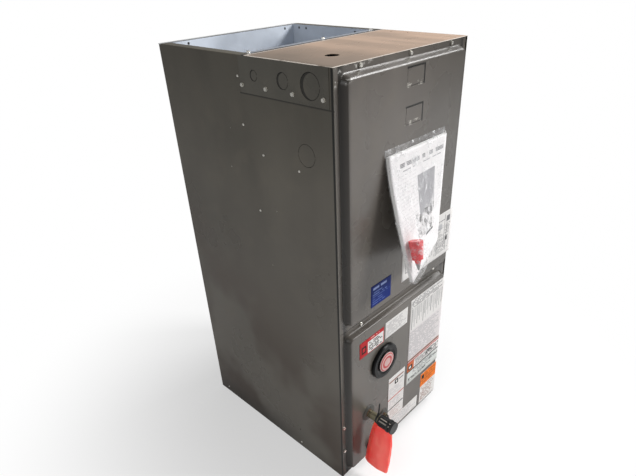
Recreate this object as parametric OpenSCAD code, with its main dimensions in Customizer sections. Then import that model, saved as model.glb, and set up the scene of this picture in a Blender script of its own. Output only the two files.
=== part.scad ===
// Upflow residential air handler, vertical cabinet, millimetres.
// The front faces -Y, +X is to the right when looking at the doors, +Z is up.
// The origin is the middle of the cabinet's footprint, on the floor.

/* [Cabinet] */
// Overall width of the cabinet
cab_w = 444.5; // [440:0.5:620]
// Overall depth of the cabinet, front hem to back panel
cab_d = 551; // [548:1:640]
// Overall height of the cabinet
cab_h = 1079.5; // [1070:0.5:1300]
// Thickness of the painted casing sheet
sheet_t = 0.9; // [0.7:0.1:1.2]
// Thickness of the galvanised inner sheet
galv_t = 1.2; // [0.8:0.1:1.6]
// Width of the side panels' front and back returns
return_w = 24; // [20:1:24]
// Depth of the hem that the doors sit behind
hem_d = 3; // [2.5:0.1:4]
// Width of the inward foot flanges
foot_w = 20; // [16:1:24]
// Thickness of the insulation on the walls
liner_t = 12; // [8:1:14]

/* [Top] */
// Depth of the painted top cover, front to back
cover_d = 246.5; // [240:0.5:247]
// Height of the cover's side flanges
cover_flange_h = 73; // [66:1:80]
// Depth of the cover's side flanges, front to back
cover_flange_d = 258; // [254:1:262]
// Radius of the open conduit hole in the cover
conduit_r = 14.3; // [11:0.1:17]
// Width of the side strips of the supply collar
collar_side_w = 22; // [21:0.5:26]
// Width of the back strip of the supply collar
collar_back_w = 12; // [12:0.5:13]
// Width of the lip along the opening's front
collar_lip_w = 14; // [10:0.5:20]

/* [Doors] */
// Height of the joint between the two doors
split_z = 497; // [490:1:500]
// Gap between the two doors
door_gap = 1.5; // [1:0.1:3]
// Gap between a door's edge and the side hem
door_side_gap = 0.7; // [0.5:0.1:1.5]
// Clearance behind a door's flange
door_seat_gap = 0.3; // [0.2:0.1:0.5]
// Width of the flat flange round a door
door_flange_w = 12.5; // [11:0.5:14]
// Height of the raised field of a door
emboss_d = 15; // [12:0.5:18]
// Width of the curved wall of the raised field
emboss_run = 10; // [8:0.5:12]
// Corner radius at the foot of the raised field
emboss_r = 19; // [16:0.5:24]
// Width of a breaker knock-out
breaker_w = 60; // [40:1:70]
// Height of a breaker knock-out
breaker_h = 37; // [25:1:42]
// Width of the slits that outline the knock-outs
slit_w = 1; // [0.6:0.1:1.4]
// Diameter of the round badge
badge_dia = 100; // [80:1:110]
// Thickness of the door insulation
door_liner_t = 10; // [6:1:12]

/* [Screws] */
// Radius of the casing screws' shanks
screw_r = 2.1; // [1.8:0.1:2.4]
// Width across the flats of the screw heads
screw_af = 7; // [6.5:0.5:9]
// Height of the screw heads
screw_head_h = 3.2; // [2.8:0.1:4.5]
// Radius of the side wall screws' shanks
wall_screw_r = 1.5; // [1.2:0.1:2]
// Radius of the side wall screws' round heads
wall_head_r = 2.8; // [2.5:0.1:4]
// Radial clearance round a screw shank
screw_gap = 0.15; // [0.1:0.05:0.3]

/* [Filter and return] */
// Width of the base's side strips, beside the return opening
base_side_w = 42.25; // [40:0.25:70]
// Width of the base's front and back strips
base_end_w = 40.5; // [36:0.5:70]
// Room from a cabinet side to the filter
filter_side_gap = 25.4; // [25.4:0.1:32]
// Room from the cabinet's front and back to the filter, together
filter_end_gap = 55.7; // [55.7:0.1:80]
// Thickness of the filter
filter_t = 24; // [18:0.5:24]
// Pleats in the filter
filter_pleats = 30; // [20:1:34]

/* [Coil] */
// Thickness of a coil slab
slab_t = 44; // [38:1:46]
// Length of a coil slab along its slope
slab_l = 350; // [330:1:352]
// Room behind the coil
coil_back_gap = 50.5; // [49.5:0.5:80]
// Fins cut in each slab
fin_count = 40; // [20:1:44]
// Gap between two fins
fin_gap = 3; // [2:0.1:5]
// Radius of the coil tubes
tube_r = 4.76; // [4:0.01:5.2]
// Distance between two neighbouring coil tubes
tube_pitch = 30; // [28:0.5:31]
// Radius of the suction stub
suction_r = 11.11; // [9:0.01:12.7]
// Radius of the liquid stub
liquid_r = 4.76; // [4:0.01:6.3]
// Wall of the refrigerant stubs
stub_wall = 0.9; // [0.7:0.1:1.2]
// Height of the drain pan
pan_h = 48; // [42:1:52]
// Wall of the drain pan
pan_t = 3; // [2.5:0.1:4]
// Bore radius of the drain ports
drain_r = 13.3; // [11:0.1:13.3]
// Wall of the drain ports
drain_wall = 3.7; // [3:0.1:4]

/* [Blower] */
// Radius of the blower wheel
wheel_r = 127; // [120:1:128]
// Gap between the wheel and each side of the housing
wheel_gap = 13.5; // [12:0.5:24]
// Blades on the wheel
blade_count = 38; // [24:1:44]
// Radial length of a blade
blade_l = 20; // [16:1:22]
// Thickness of a blade
blade_t = 0.9; // [0.7:0.1:1.2]
// Inner width of the blower housing
housing_w = 230; // [226:1:236]
// Thickness of the blower housing sheet
housing_t = 1; // [0.8:0.1:1.2]
// Largest radius of the scroll
scroll_r_max = 200; // [194:1:201]
// Radius of the scroll at its cut-off
scroll_r_min = 136; // [134:0.5:140]
// Radius of the blower inlets
inlet_r = 107; // [100:1:108]
// Radius of the motor
motor_r = 70; // [60:1:76]
// Length of the motor
motor_l = 120; // [100:1:124]
// Radius of the motor shaft
shaft_r = 6.35; // [5:0.05:8]
// Running clearance of the shaft, on the radius
shaft_gap = 0.06; // [0.03:0.01:0.09]

/* [Papers and shipping pieces] */
// Width of the booklet
book_w = 216; // [200:1:216]
// Height of the booklet
book_h = 279.4; // [260:0.1:290]
// Thickness of the booklet
book_t = 8; // [4:0.5:12]
// How far the booklet's loose corner stands off the door
book_lift = 76; // [30:1:90]
// Length of the shipping pouch
pouch_l = 138; // [100:1:142]
// Thickness of the shipping pouch at its fullest
pouch_t = 26; // [18:1:30]

/* [Hidden] */
$fn = 48;
x_out = cab_w / 2;
x_wall = x_out - sheet_t;
x_in = x_wall - sheet_t;
y_front = -cab_d / 2;
y_back = cab_d / 2;
y_seat = y_front + hem_d;
y_return = y_seat + sheet_t;
x_open = x_wall - return_w;
side_h = cab_h - galv_t;
z_floor = galv_t;

// cross rail between the doors
rail_h = 26;
rail_lip = 18;

// supply plenum
partition_y = y_front + cover_d + 1.5;
deck_z = cab_h - 194.5;
deck_front_y = partition_y - 72.5;
collar_x = x_out - collar_side_w;
collar_y = y_back - collar_back_w;
outlet_gap = 0.6;
heater_x = 62;
heater_z = cab_h - 97;
heater_w = 150;
heater_h = 120;
heater_lap = 12;
heater_margin = 10;
heater_field_r = 9;
heater_field_d = 4;
heater_field_run = 5;

// side and top knock-outs: distance behind the front, height below the top, radius
cover_knockouts = [[57, 38, 25], [130, 37, 16], [214, 36, 11]];
wall_knockout = [76, 171.5, 23.5];
knockout_relief = 4;
cover_flange_y = 10;
conduit_x = 92.25 - x_out;
conduit_from_front = 86;
bracket_hole_ys = [147, 195];
bracket_hole_inset = 23;
bracket_hole_r = 3;

// casing screws: distance behind the front, height
cover_screw_ys = [23.5, 103, 179, 252];
cover_screw_z = cab_h - 57.5;
back_screw_inset = 12;
back_screw_end = 59.75;
wall_screws = [[266.5, cab_h - 42], [266, cab_h - 141.5], [208, cab_h - 197.5], [100, cab_h - 208.5],
    [239, split_z + 247], [164, 16], [cab_d - 40, 18]];
back_screw_zs = [for (i = [0 : 4]) back_screw_end + i * (cab_h - 2 * back_screw_end) / 4];
lip_screw_xs = [5.25 - collar_x, 24, collar_x - 5.25];

// doors
door_x = x_wall - 2 * sheet_t - door_side_gap;
door_y = y_seat - door_seat_gap;
upper_z0 = split_z + door_gap / 2;
upper_z1 = cab_h - sheet_t - 0.6;
lower_z0 = 3;
lower_z1 = split_z - door_gap / 2;
field_y = door_y - sheet_t - emboss_d;
edge_screw_inset = door_flange_w / 2;
field_lap = 2;
upper_top_screw_xs = [75.25 - x_out, 8, x_out - 64.25];
upper_low_screw_x = x_out - 63.75;
lower_top_screw_x = 77.25 - x_out;
lower_side_screw_zs = [100, 188];
breaker_x = 10;
breaker_zs = [cab_h - 48, cab_h - 125];

// round badge
badge_x = -70;
badge_z = 336;
badge_t = 9;

// base
return_open_w = cab_w - 2 * base_side_w;
return_open_d = cab_d - 2 * base_end_w;
base_bolt_x = x_out - 72.25;
base_bolt_y = y_back - 18.5;
base_bolt_r = 3.5;

// coil compartment
filter_w = cab_w - 2 * filter_side_gap;
filter_d = cab_d - filter_end_gap;
filter_rail_x = filter_w / 2 + 2.2;
rail_floor_z = z_floor + galv_t;
filter_z = rail_floor_z + 0.3;
filter_y = y_front + 24;
filter_top_z = filter_z + filter_t;
filter_wall = 3;
filter_lip = 4;
cloth_t = 1.2;
guide_z = filter_top_z + 1.3;
pan_z = guide_z + galv_t + 9;
pan_x = x_in - liner_t - 4;
pan_y0 = y_front + 14;
pan_y1 = y_back - 18;
coil_y0 = y_front + 85.5;
coil_y1 = y_back - coil_back_gap;
slab_d = coil_y1 - coil_y0;
slab_foot_x = x_out - 74.25;
pan_hole_x = slab_foot_x - 42;
pan_hole_y0 = coil_y0 + 8;
pan_hole_y1 = coil_y1 - 10;
slab_top_x = 24.855;
slab_lean = asin((slab_foot_x - slab_top_x) / slab_l);
slab_foot_z = pan_z + pan_t + 14;
sheet_lap = 3;
bend_r = tube_pitch / 2;
row_off = slab_t / 4;
row_rise = 6;
bends_per_row = floor((slab_l - tube_pitch) / (2 * tube_pitch));

// pipes
suction_x = 17 - slab_foot_x;
suction_z = 192;
suction_end_y = y_front - 95;
header_y = coil_y0 - 46;
header_r = 9.5;
joint_l = 8;
ferrule_t = 0.9;
liquid_x = 84 - slab_foot_x;
liquid_z = 135;
liquid_end_y = y_front - 25;
grommet_r = 20;
grommet_gap = 0.5;
liquid_grommet_r = 13;
drain_r_out = drain_r + drain_wall;
drain_end_y = y_front - 22;
drain_ports = [[30 - slab_foot_x, pan_z + 22], [78 - slab_foot_x, pan_z + 27]];
drain_clear = 3;
valve_drop = 26;
valve_h = 44;

// controls
panel_x0 = 30.25 - x_out;
panel_x1 = panel_x0 + 150;
panel_z0 = deck_z + 20;
panel_z1 = cab_h - 20;
panel_y = partition_y - 18;
board_z = panel_z0 + 74;
connector_z = board_z + 4;
harness_x = panel_x0 + 34;
harness_y = deck_front_y + 30;
harness_r = 4;
bushing_r = 9.5;

// blower
fan_y = y_back - 235.5;
fan_z = deck_z - 185;
scroll_sweep = 285;
neck_y0 = fan_y + scroll_r_min * cos(scroll_sweep);
neck_y1 = fan_y + scroll_r_max;
neck_top = deck_z - outlet_gap;
scroll_lip = 6;
scroll_steps = 48;
head_y0 = fan_y - 152;
head_z = deck_z - 75;
slide_w = 18;
slide_z = deck_z - 11.5;
blower_rail_x = housing_w / 2 + housing_t + slide_w + 2;
ring_w = 10;
wheel_w = housing_w - 2 * wheel_gap;
wheel_disc_x = 20;
wheel_shroud_w = 8;
motor_x = -housing_w / 2 - 35;
hub_r = 17;
hub_l = 34;
band_w = 26;
arm_reach = 134;
cap_r = 22;
cap_h = 66;
cap_y = fan_y - 122;
cap_z = head_z - 20;

// literature pack, on the upper door
book_x = -85;
book_top = 886.5;
book_y = field_y - 1.2;
bag_gap = 0.5;
bag_t = 0.5;
plug_r = 16.5;
plug_taper = 4;
plug_l = 36;
plug_head_h = 6;
plug_tail_l = 24;
plug_s = 0.115;
plug_t = 0.745;
bag_bulge = 2 * plug_r + 14;
bag_spread = 0.22;
bag_hem = 14;
bag_edge = 3;

// cap on the suction stub, with the shipping pouch under its ribs
cap_len = 46;
stub_cap_y = suction_end_y - 4;
stub_cap_gap = 0.06;
stub_cap_r = suction_r + 3.4;
cap_rib_h = 1.4;
pouch_slope = 9;
pouch_lean = 23;
pouch_top = suction_z - stub_cap_r - cap_rib_h + 2.6;

// shared shapes

module box(x0, x1, y0, y1, z0, z1) {
    translate([x0, y0, z0]) cube([x1 - x0, y1 - y0, z1 - z0]);
}

module both_sides() {
    children();
    mirror([1, 0, 0]) children();
}

// a rod between two points
module rod(a, b, r) {
    d = b - a;
    l = norm(d);
    translate(a)
        rotate([0, acos(d[2] / l), atan2(d[1], d[0])])
            cylinder(h = l, r = r);
}

// smooth curve through a list of points, k steps to a stretch
function curve(p, k) = concat([for (i = [0 : len(p) - 2], j = [0 : k - 1])
    let (t = j / k, a = p[max(i - 1, 0)], b = p[i], c = p[i + 1], d = p[min(i + 2, len(p) - 1)])
        0.5 * (2 * b + (c - a) * t + (2 * a - 5 * b + 4 * c - d) * t * t
            + (3 * b - a - 3 * c + d) * t * t * t)],
    [p[len(p) - 1]]);

function unit(v) = v / norm(v);
function heading(p, i) = unit(p[min(i + 1, len(p) - 1)] - p[max(i - 1, 0)]);

// sideways vector of each ring, carried along the curve without twist
function carried(p, i, n) = i == len(p) ? [] :
    let (h = heading(p, i), m = unit(n - h * (n * h))) concat([m], carried(p, i + 1, m));

// round tube along a curve, closed at both ends
module swept_tube(p, r, sides, start_side) {
    m = carried(p, 0, start_side);
    points = [for (i = [0 : len(p) - 1], j = [0 : sides - 1])
        let (h = heading(p, i), b = cross(h, m[i]), a = 360 * j / sides)
            p[i] + r * (cos(a) * m[i] + sin(a) * b)];
    last = (len(p) - 1) * sides;
    faces = concat(
        [for (i = [0 : len(p) - 2], j = [0 : sides - 1], k = [0, 1])
            let (a = i * sides + j, b = i * sides + (j + 1) % sides)
                k == 0 ? [a, a + sides, b] : [b, a + sides, b + sides]],
        [[for (j = [0 : sides - 1]) j]],
        [[for (j = [sides - 1 : -1 : 0]) last + j]]);
    polyhedron(points = points, faces = faces, convexity = 4);
}

// cylinder along +X, +Y
module x_cylinder(h, r) {
    rotate([0, 90, 0]) cylinder(h = h, r = r);
}

module y_cylinder(h, r) {
    rotate([-90, 0, 0]) cylinder(h = h, r = r);
}

// outline of a knock-out: a ring slit with two bridges left in it
module round_slit(r, h) {
    difference() {
        cylinder(h = h, r = r);
        translate([0, 0, -1]) cylinder(h = h + 2, r = r - slit_w);
        translate([-1.5, -r - 1, -1]) cube([3, 2 * r + 2, h + 2]);
    }
}

module square_slit(w, h, t) {
    difference() {
        translate([-w / 2, -h / 2, 0]) cube([w, h, t]);
        translate([-w / 2 + slit_w, -h / 2 + slit_w, -1]) cube([w - 2 * slit_w, h - 2 * slit_w, t + 2]);
        translate([-w / 2 - 1, -1.5, -1]) cube([w + 2, 3, t + 2]);
    }
}

// hexagon washer-head screw, head towards +Z, shank down through l
module hex_screw(l) {
    translate([0, 0, -l]) cylinder(h = l, r = screw_r, $fn = 24);
    cylinder(h = 0.8, r = screw_af / 2 + 0.9, $fn = 24);
    translate([0, 0, 0.8]) cylinder(h = screw_head_h - 0.8, r = screw_af / sqrt(3), $fn = 6);
}

// round-head screw of the side walls
module wall_screw(l) {
    translate([0, 0, -l]) cylinder(h = l, r = wall_screw_r, $fn = 24);
    cylinder(h = 1.3, r1 = wall_head_r, r2 = wall_head_r - 0.9, $fn = 24);
}

module screw_hole(h, r = screw_r) {
    translate([0, 0, -h]) cylinder(h = 2 * h, r = r + screw_gap, $fn = 24);
}

// places in the two side walls, local +Z pointing out of the right wall
module at_wall(from_front, z) {
    translate([x_out, y_front + from_front, z]) rotate([0, 90, 0]) children();
}

// places in the front, local +Z pointing forward
module at_front(x, y, z) {
    translate([x, y, z]) rotate([90, 0, 0]) children();
}

// casing

module side_section() {
    translate([x_in, y_front]) square([sheet_t, cab_d - sheet_t]);
    translate([x_in - sheet_t, y_front]) square([sheet_t, hem_d + sheet_t]);
    translate([x_open, y_seat]) square([return_w - sheet_t, sheet_t]);
    translate([x_open, y_back - 2 * sheet_t]) square([return_w, sheet_t]);
}

module side_panel() {
    difference() {
        union() {
            linear_extrude(side_h) side_section();
            box(x_wall - foot_w, x_in, y_return + 4, y_back - 2 * sheet_t - 4, z_floor, z_floor + sheet_t);
        }
        for (k = cover_knockouts)
            at_wall(k[0], cab_h - k[1]) translate([0, 0, -8]) cylinder(h = 9, r = k[2] + knockout_relief);
        at_wall(wall_knockout[0], cab_h - wall_knockout[1])
            translate([0, 0, -8]) round_slit(wall_knockout[2], 9);
        for (y = cover_screw_ys) at_wall(y, cover_screw_z) screw_hole(5);
        for (s = wall_screws) at_wall(s[0], s[1]) screw_hole(5, wall_screw_r);
        for (z = back_screw_zs) back_screw_place(z) screw_hole(5);
        for (z = lower_side_screw_zs) at_front(door_x - edge_screw_inset, door_y, z) screw_hole(8);
    }
}

module back_screw_place(z) {
    translate([x_wall - back_screw_inset, y_back, z]) rotate([-90, 0, 0]) children();
}

module left_side_panel() {
    color("dimgray") mirror([1, 0, 0]) side_panel();
}

module right_side_panel() {
    color("dimgray") side_panel();
}

module back_panel() {
    color("dimgray")
        difference() {
            box(-x_wall, x_wall, y_back - sheet_t, y_back, 0, side_h);
            both_sides() for (z = back_screw_zs) back_screw_place(z) screw_hole(5);
        }
}

module top_cover() {
    color("dimgray")
        difference() {
            union() {
                box(-x_out, x_out, y_front, y_front + cover_d, cab_h - sheet_t, cab_h);
                both_sides() {
                    box(x_wall, x_out, y_front + cover_flange_y, y_front + cover_d,
                        cab_h - cover_flange_h, cab_h);
                    box(x_wall, x_out, y_front + cover_d, y_front + cover_flange_d,
                        cab_h - cover_flange_h, cab_h - galv_t);
                }
                box(-x_open - 12, x_open + 12, y_return, y_return + sheet_t, cab_h - 24, cab_h);
                box(-x_out + 30, x_out - 30, y_front + cover_d - sheet_t, y_front + cover_d,
                    cab_h - 12, cab_h);
            }
            both_sides() {
                for (k = cover_knockouts)
                    at_wall(k[0], cab_h - k[1]) translate([0, 0, -2]) round_slit(k[2], 4);
                for (y = cover_screw_ys) at_wall(y, cover_screw_z) screw_hole(4);
            }
            translate([conduit_x, y_front + conduit_from_front, cab_h - 2]) cylinder(h = 4, r = conduit_r);
            translate([-conduit_x, y_front + conduit_from_front, cab_h - 2]) round_slit(conduit_r, 4);
            for (y = bracket_hole_ys)
                translate([x_out - bracket_hole_inset, y_front + y, cab_h - 2])
                    cylinder(h = 4, r = bracket_hole_r);
            for (x = upper_top_screw_xs) at_front(x, door_y, upper_z1 - edge_screw_inset) screw_hole(8);
        }
}

module base_frame() {
    color("silver")
        difference() {
            box(-x_in, x_in, y_return, y_back - 2 * sheet_t, 0, z_floor);
            box(-return_open_w / 2, return_open_w / 2, -return_open_d / 2, return_open_d / 2,
                -1, z_floor + 1);
            base_bolt_places() translate([0, 0, -1]) cylinder(h = z_floor + 2, r = base_bolt_r);
        }
}

module base_bolt_places() {
    for (x = [-base_bolt_x, base_bolt_x], y = [-base_bolt_y, base_bolt_y]) translate([x, y, 0]) children();
}

// channel behind the joint of the two doors
module centre_rail() {
    rail_x = x_in - liner_t - 3;
    z0 = split_z - rail_h / 2;
    color("silver")
        difference() {
            union() {
                box(-rail_x, rail_x, y_return, y_return + galv_t, z0, z0 + rail_h);
                for (z = [z0, z0 + rail_h - galv_t])
                    box(-rail_x, rail_x, y_return, y_return + rail_lip, z, z + galv_t);
            }
            at_front(upper_low_screw_x, door_y, upper_z0 + edge_screw_inset) screw_hole(8);
            at_front(lower_top_screw_x, door_y, lower_z1 - edge_screw_inset) screw_hole(8);
        }
}

// galvanised sleeve of the supply plenum with its outward top strip
module supply_collar() {
    color("lightsteelblue") {
        both_sides() {
            box(collar_x, collar_x + galv_t, partition_y, collar_y, deck_z + galv_t, cab_h);
            box(collar_x, x_out, partition_y, y_back, cab_h - galv_t, cab_h);
        }
        box(-collar_x - galv_t, collar_x + galv_t, collar_y, collar_y + galv_t, deck_z + galv_t, cab_h);
        box(-x_out, x_out, collar_y, y_back, cab_h - galv_t, cab_h);
    }
}

module heater_partition() {
    color("silver")
        difference() {
            union() {
                box(-collar_x, collar_x, partition_y, partition_y + galv_t, deck_z + galv_t, cab_h);
                box(-collar_x, collar_x, partition_y, partition_y + collar_lip_w, cab_h - galv_t, cab_h);
                box(-collar_x, collar_x, partition_y - 14, partition_y, deck_z + galv_t, deck_z + 2 * galv_t);
            }
            box(heater_x - heater_w / 2, heater_x + heater_w / 2, partition_y - 2, partition_y + 5,
                heater_z - heater_h / 2, heater_z + heater_h / 2);
            heater_screw_places() screw_hole(5);
            for (x = lip_screw_xs) lip_screw_place(x) screw_hole(4);
        }
}

module heater_screw_places() {
    for (sx = [-1, 1], sz = [-1, 1])
        at_front(heater_x + sx * (heater_w + heater_lap) / 2, partition_y - galv_t,
            heater_z + sz * (heater_h + heater_lap) / 2) children();
}

module lip_screw_place(x) {
    translate([x, partition_y + collar_lip_w / 2 + 1, cab_h]) children();
}

// plate that closes the heater opening, with a shallow pressed field
module heater_blank_plate() {
    w = heater_w - 2 * heater_margin;
    h = heater_h - 2 * heater_margin;
    color("silver")
        difference() {
            at_front(heater_x, partition_y, heater_z) {
                linear_extrude(galv_t)
                    difference() {
                        square([heater_w + 2 * heater_lap, heater_h + 2 * heater_lap], center = true);
                        round_rect(w, h, heater_field_r);
                    }
                pressed_field(w, h, heater_field_r, heater_field_d, heater_field_run, galv_t);
            }
            heater_screw_places() screw_hole(5);
        }
}

module blower_deck() {
    color("silver")
        difference() {
            box(-x_in + liner_t + 2, x_in - liner_t - 2, deck_front_y, collar_y, deck_z, deck_z + galv_t);
            box(-housing_w / 2 + 4, housing_w / 2 - 4, neck_y0 + 4, neck_y1 - 4,
                deck_z - 1, deck_z + galv_t + 1);
            translate([harness_x, harness_y, deck_z - 1]) cylinder(h = galv_t + 2, r = bushing_r - 1.5);
        }
}

// two J rails under the deck that carry the blower
module blower_rails() {
    color("silver")
        both_sides() {
            box(blower_rail_x, blower_rail_x + galv_t, deck_front_y, collar_y - 6, slide_z - 1.5, deck_z);
            box(blower_rail_x - 16, blower_rail_x, deck_front_y, collar_y - 6, slide_z - 1.5, slide_z - 0.3);
        }
}

module side_liners() {
    y0 = y_front + 20;
    y1 = y_back - 2 * sheet_t;
    color("slategray")
        both_sides()
            difference() {
                box(x_in - liner_t, x_in, y0, y1, z_floor + sheet_t, side_h - 1);
                box(x_in - liner_t - 1, x_in + 1, y0 - 1, partition_y, deck_z, side_h);
            }
}

module back_liner() {
    color("slategray")
        box(-x_in + liner_t, x_in - liner_t, collar_y, y_back - 2 * sheet_t,
            z_floor + sheet_t, deck_z + galv_t);
}

// Z rails that guide the filter and carry the drain pan
module filter_rails() {
    color("silver")
        both_sides()
            translate([0, y_front + 18, 0])
                rotate([90, 0, 0])
                    translate([0, 0, -cab_d + 36])
                        linear_extrude(cab_d - 36) {
                            translate([filter_rail_x - 12, z_floor]) square([12 + galv_t, galv_t]);
                            translate([filter_rail_x, z_floor]) square([galv_t, pan_z - z_floor - galv_t]);
                            translate([filter_rail_x - 12, guide_z]) square([13, galv_t]);
                            translate([filter_rail_x - 12, pan_z - galv_t])
                                square([pan_x - filter_rail_x + 12, galv_t]);
                        }
}

// coil

// moulded pan with a raised collar round its air opening and two drain ports
module drain_pan() {
    color("dimgray")
        difference() {
            union() {
                difference() {
                    box(-pan_x, pan_x, pan_y0, pan_y1, pan_z, pan_z + pan_h);
                    box(-pan_x + pan_t, pan_x - pan_t, pan_y0 + pan_t, pan_y1 - pan_t,
                        pan_z + pan_t, pan_z + pan_h + 1);
                }
                box(-pan_hole_x - pan_t, pan_hole_x + pan_t, pan_hole_y0 - pan_t, pan_hole_y1 + pan_t,
                    pan_z, pan_z + 30);
                both_sides()
                    for (y = [coil_y0 + 40 : 75 : coil_y1 - 20])
                        box(pan_hole_x + pan_t, pan_x - pan_t, y, y + 4, pan_z, pan_z + pan_t + 5);
                for (d = drain_ports)
                    translate([d[0], drain_end_y, d[1]])
                        y_cylinder(pan_y0 + pan_t - drain_end_y, drain_r_out);
            }
            box(-pan_hole_x, pan_hole_x, pan_hole_y0, pan_hole_y1, pan_z - 1, pan_z + 31);
            for (d = drain_ports)
                translate([d[0], drain_end_y - 1, d[1]])
                    y_cylinder(pan_y0 + pan_t - drain_end_y + 2, drain_r);
        }
}

// carries its children from the frame of a slab, X across it, Z up its slope, to the right half
module on_slab() {
    translate([slab_foot_x, 0, slab_foot_z]) rotate([0, -slab_lean, 0]) children();
}

module coil_fins() {
    pitch = slab_d / fin_count;
    color("lightgray")
        both_sides()
            on_slab()
                difference() {
                    box(-slab_t / 2, slab_t / 2, coil_y0, coil_y1, 0, slab_l);
                    for (i = [0 : fin_count - 1])
                        for (s = [-1, 1])
                            translate([s * slab_t / 2 - 3, coil_y0 + (i + 0.5) * pitch - fin_gap / 2, -1])
                                cube([6, fin_gap, slab_l + 2]);
                }
}

// end sheets of the slabs, with feet down to the pan
module coil_tube_sheets() {
    color("silver")
        both_sides()
            for (y = [coil_y0 - galv_t, coil_y1]) {
                on_slab() box(-slab_t / 2 - sheet_lap, slab_t / 2 + sheet_lap, y, y + galv_t, -2, slab_l);
                box(slab_foot_x - 14, slab_foot_x + 14, y, y + galv_t, pan_z + pan_t, slab_foot_z + 12);
            }
}

// half-round bends that join neighbouring tubes outside the end sheets
module return_bends() {
    color("peru")
        both_sides()
            on_slab()
                for (row = [-1, 1], i = [0 : bends_per_row - 1]) {
                    z = tube_pitch * (2 * i + 1) + row * row_rise;
                    translate([row * row_off, coil_y0 - galv_t, z]) rotate([90, 90, 0]) half_bend();
                    translate([row * row_off, coil_y1 + galv_t, z + tube_pitch / 2])
                        rotate([-90, 90, 0]) half_bend();
                }
}

module half_bend() {
    rotate([90, 0, 0]) rotate_extrude(angle = 180) translate([bend_r, 0]) circle(r = tube_r);
}

module coil_cap() {
    top = slab_foot_z + slab_l * cos(slab_lean);
    inner = slab_foot_x - slab_l * sin(slab_lean);
    w = inner + slab_t / 2 + 14;
    color("silver")
        translate([0, coil_y1, top + slab_t / 2 * sin(slab_lean) + 0.3])
            rotate([90, 0, 0])
                linear_extrude(slab_d) {
                    translate([-w, 0]) square([2 * w, galv_t]);
                    translate([-w, -9]) square([galv_t, 9]);
                    translate([w - galv_t, -9]) square([galv_t, 9]);
                }
}

// triangles that close the two ends between the slabs
module delta_plates() {
    half_foot = slab_foot_x - slab_t / 2 / cos(slab_lean) - 0.3;
    z0 = slab_foot_z + 3;
    run = tan(slab_lean);
    z1 = min(slab_foot_z + slab_l * cos(slab_lean) - 14, slab_foot_z + (half_foot - 1) / run);
    x0 = half_foot - (z0 - slab_foot_z) * run;
    x1 = half_foot - (z1 - slab_foot_z) * run;
    color("silver")
        for (y = [coil_y0 + galv_t, coil_y1])
            translate([0, y, 0])
                rotate([90, 0, 0])
                    linear_extrude(galv_t)
                        polygon([[-x0, z0], [x0, z0], [x1, z1], [-x1, z1]]);
}

// suction header, its five joints to the coil, and the stub out through the lower door
module suction_line() {
    run = tan(slab_lean);
    foot = [suction_x - 97 * run, header_y, suction_z - 97];
    head = [suction_x + 175 * run, header_y, suction_z + 175];
    color("peru")
        difference() {
            union() {
                rod(foot, head, header_r);
                translate(foot) sphere(r = header_r);
                translate(head) sphere(r = header_r);
                for (i = [0 : 4]) {
                    p = foot + (head - foot) * (0.08 + 0.21 * i);
                    joint = [p[0] + 18, coil_y0 - galv_t - joint_l, p[2] + 4];
                    rod(p, joint, tube_r);
                    translate(joint) y_cylinder(joint_l, tube_r + ferrule_t);
                }
                translate([suction_x, suction_end_y, suction_z])
                    y_cylinder(header_y - suction_end_y, suction_r);
            }
            translate([suction_x, suction_end_y - 1, suction_z])
                y_cylinder(header_y - suction_end_y - 20, suction_r - stub_wall);
        }
}

module liquid_line() {
    color("peru")
        difference() {
            union() {
                translate([liquid_x, liquid_end_y, liquid_z]) y_cylinder(header_y - liquid_end_y, liquid_r);
                translate([liquid_x, header_y, liquid_z]) sphere(r = liquid_r);
                rod([liquid_x, header_y, liquid_z], [liquid_x, header_y, liquid_z + valve_drop], liquid_r);
            }
            translate([liquid_x, liquid_end_y - 1, liquid_z])
                y_cylinder(header_y - liquid_end_y - 12, liquid_r - stub_wall);
        }
}

module expansion_valve() {
    color("goldenrod")
        translate([liquid_x, header_y, liquid_z + valve_drop]) {
            cylinder(h = 10, r = 9, $fn = 6);
            translate([0, 0, 10]) cylinder(h = valve_h - 22, r = 8);
            translate([0, 0, valve_h - 12]) cylinder(h = 12, r = 9, $fn = 6);
            translate([0, 0, valve_h / 2]) x_cylinder(20, 5.5);
            translate([20, 0, valve_h / 2])
                rotate([0, 90, 0])
                    rotate_extrude() polygon([[0, 0], [9, 0], [16, 3], [16, 6], [9, 10], [0, 11]]);
        }
}

// distributor cone and the feeders that it splits into
module distributor_tubes() {
    z = liquid_z + valve_drop + valve_h;
    color("peru") {
        translate([liquid_x, header_y, z])
            rotate_extrude() polygon([[0, 0], [6, 0], [7, 12], [13, 24], [13, 32], [0, 32]]);
        for (i = [0 : 3]) {
            a = [liquid_x - 7.5 + 5 * i, header_y, z + 32];
            up = tube_pitch * (i % 2 == 0 ? 6 : 8) - row_rise;
            x = (i < 2 ? -1 : 1) * (slab_foot_x - row_off * cos(slab_lean) - up * sin(slab_lean));
            end_z = slab_foot_z - row_off * sin(slab_lean) + up * cos(slab_lean);
            route = [a, a + [0, 0, 14 + 8 * (i % 2)],
                [(a[0] + x) / 2, header_y - 6 + 5 * i, z + 54 + 4 * (i % 2)],
                [x, header_y + 14, end_z + 6], [x, coil_y0 - galv_t - joint_l, end_z],
                [x, coil_y0 - galv_t - joint_l / 2, end_z], [x, coil_y0 - galv_t, end_z]];
            swept_tube(curve(route, 4), 2.4, 8, [1, 0.2, 0]);
        }
    }
}

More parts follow.
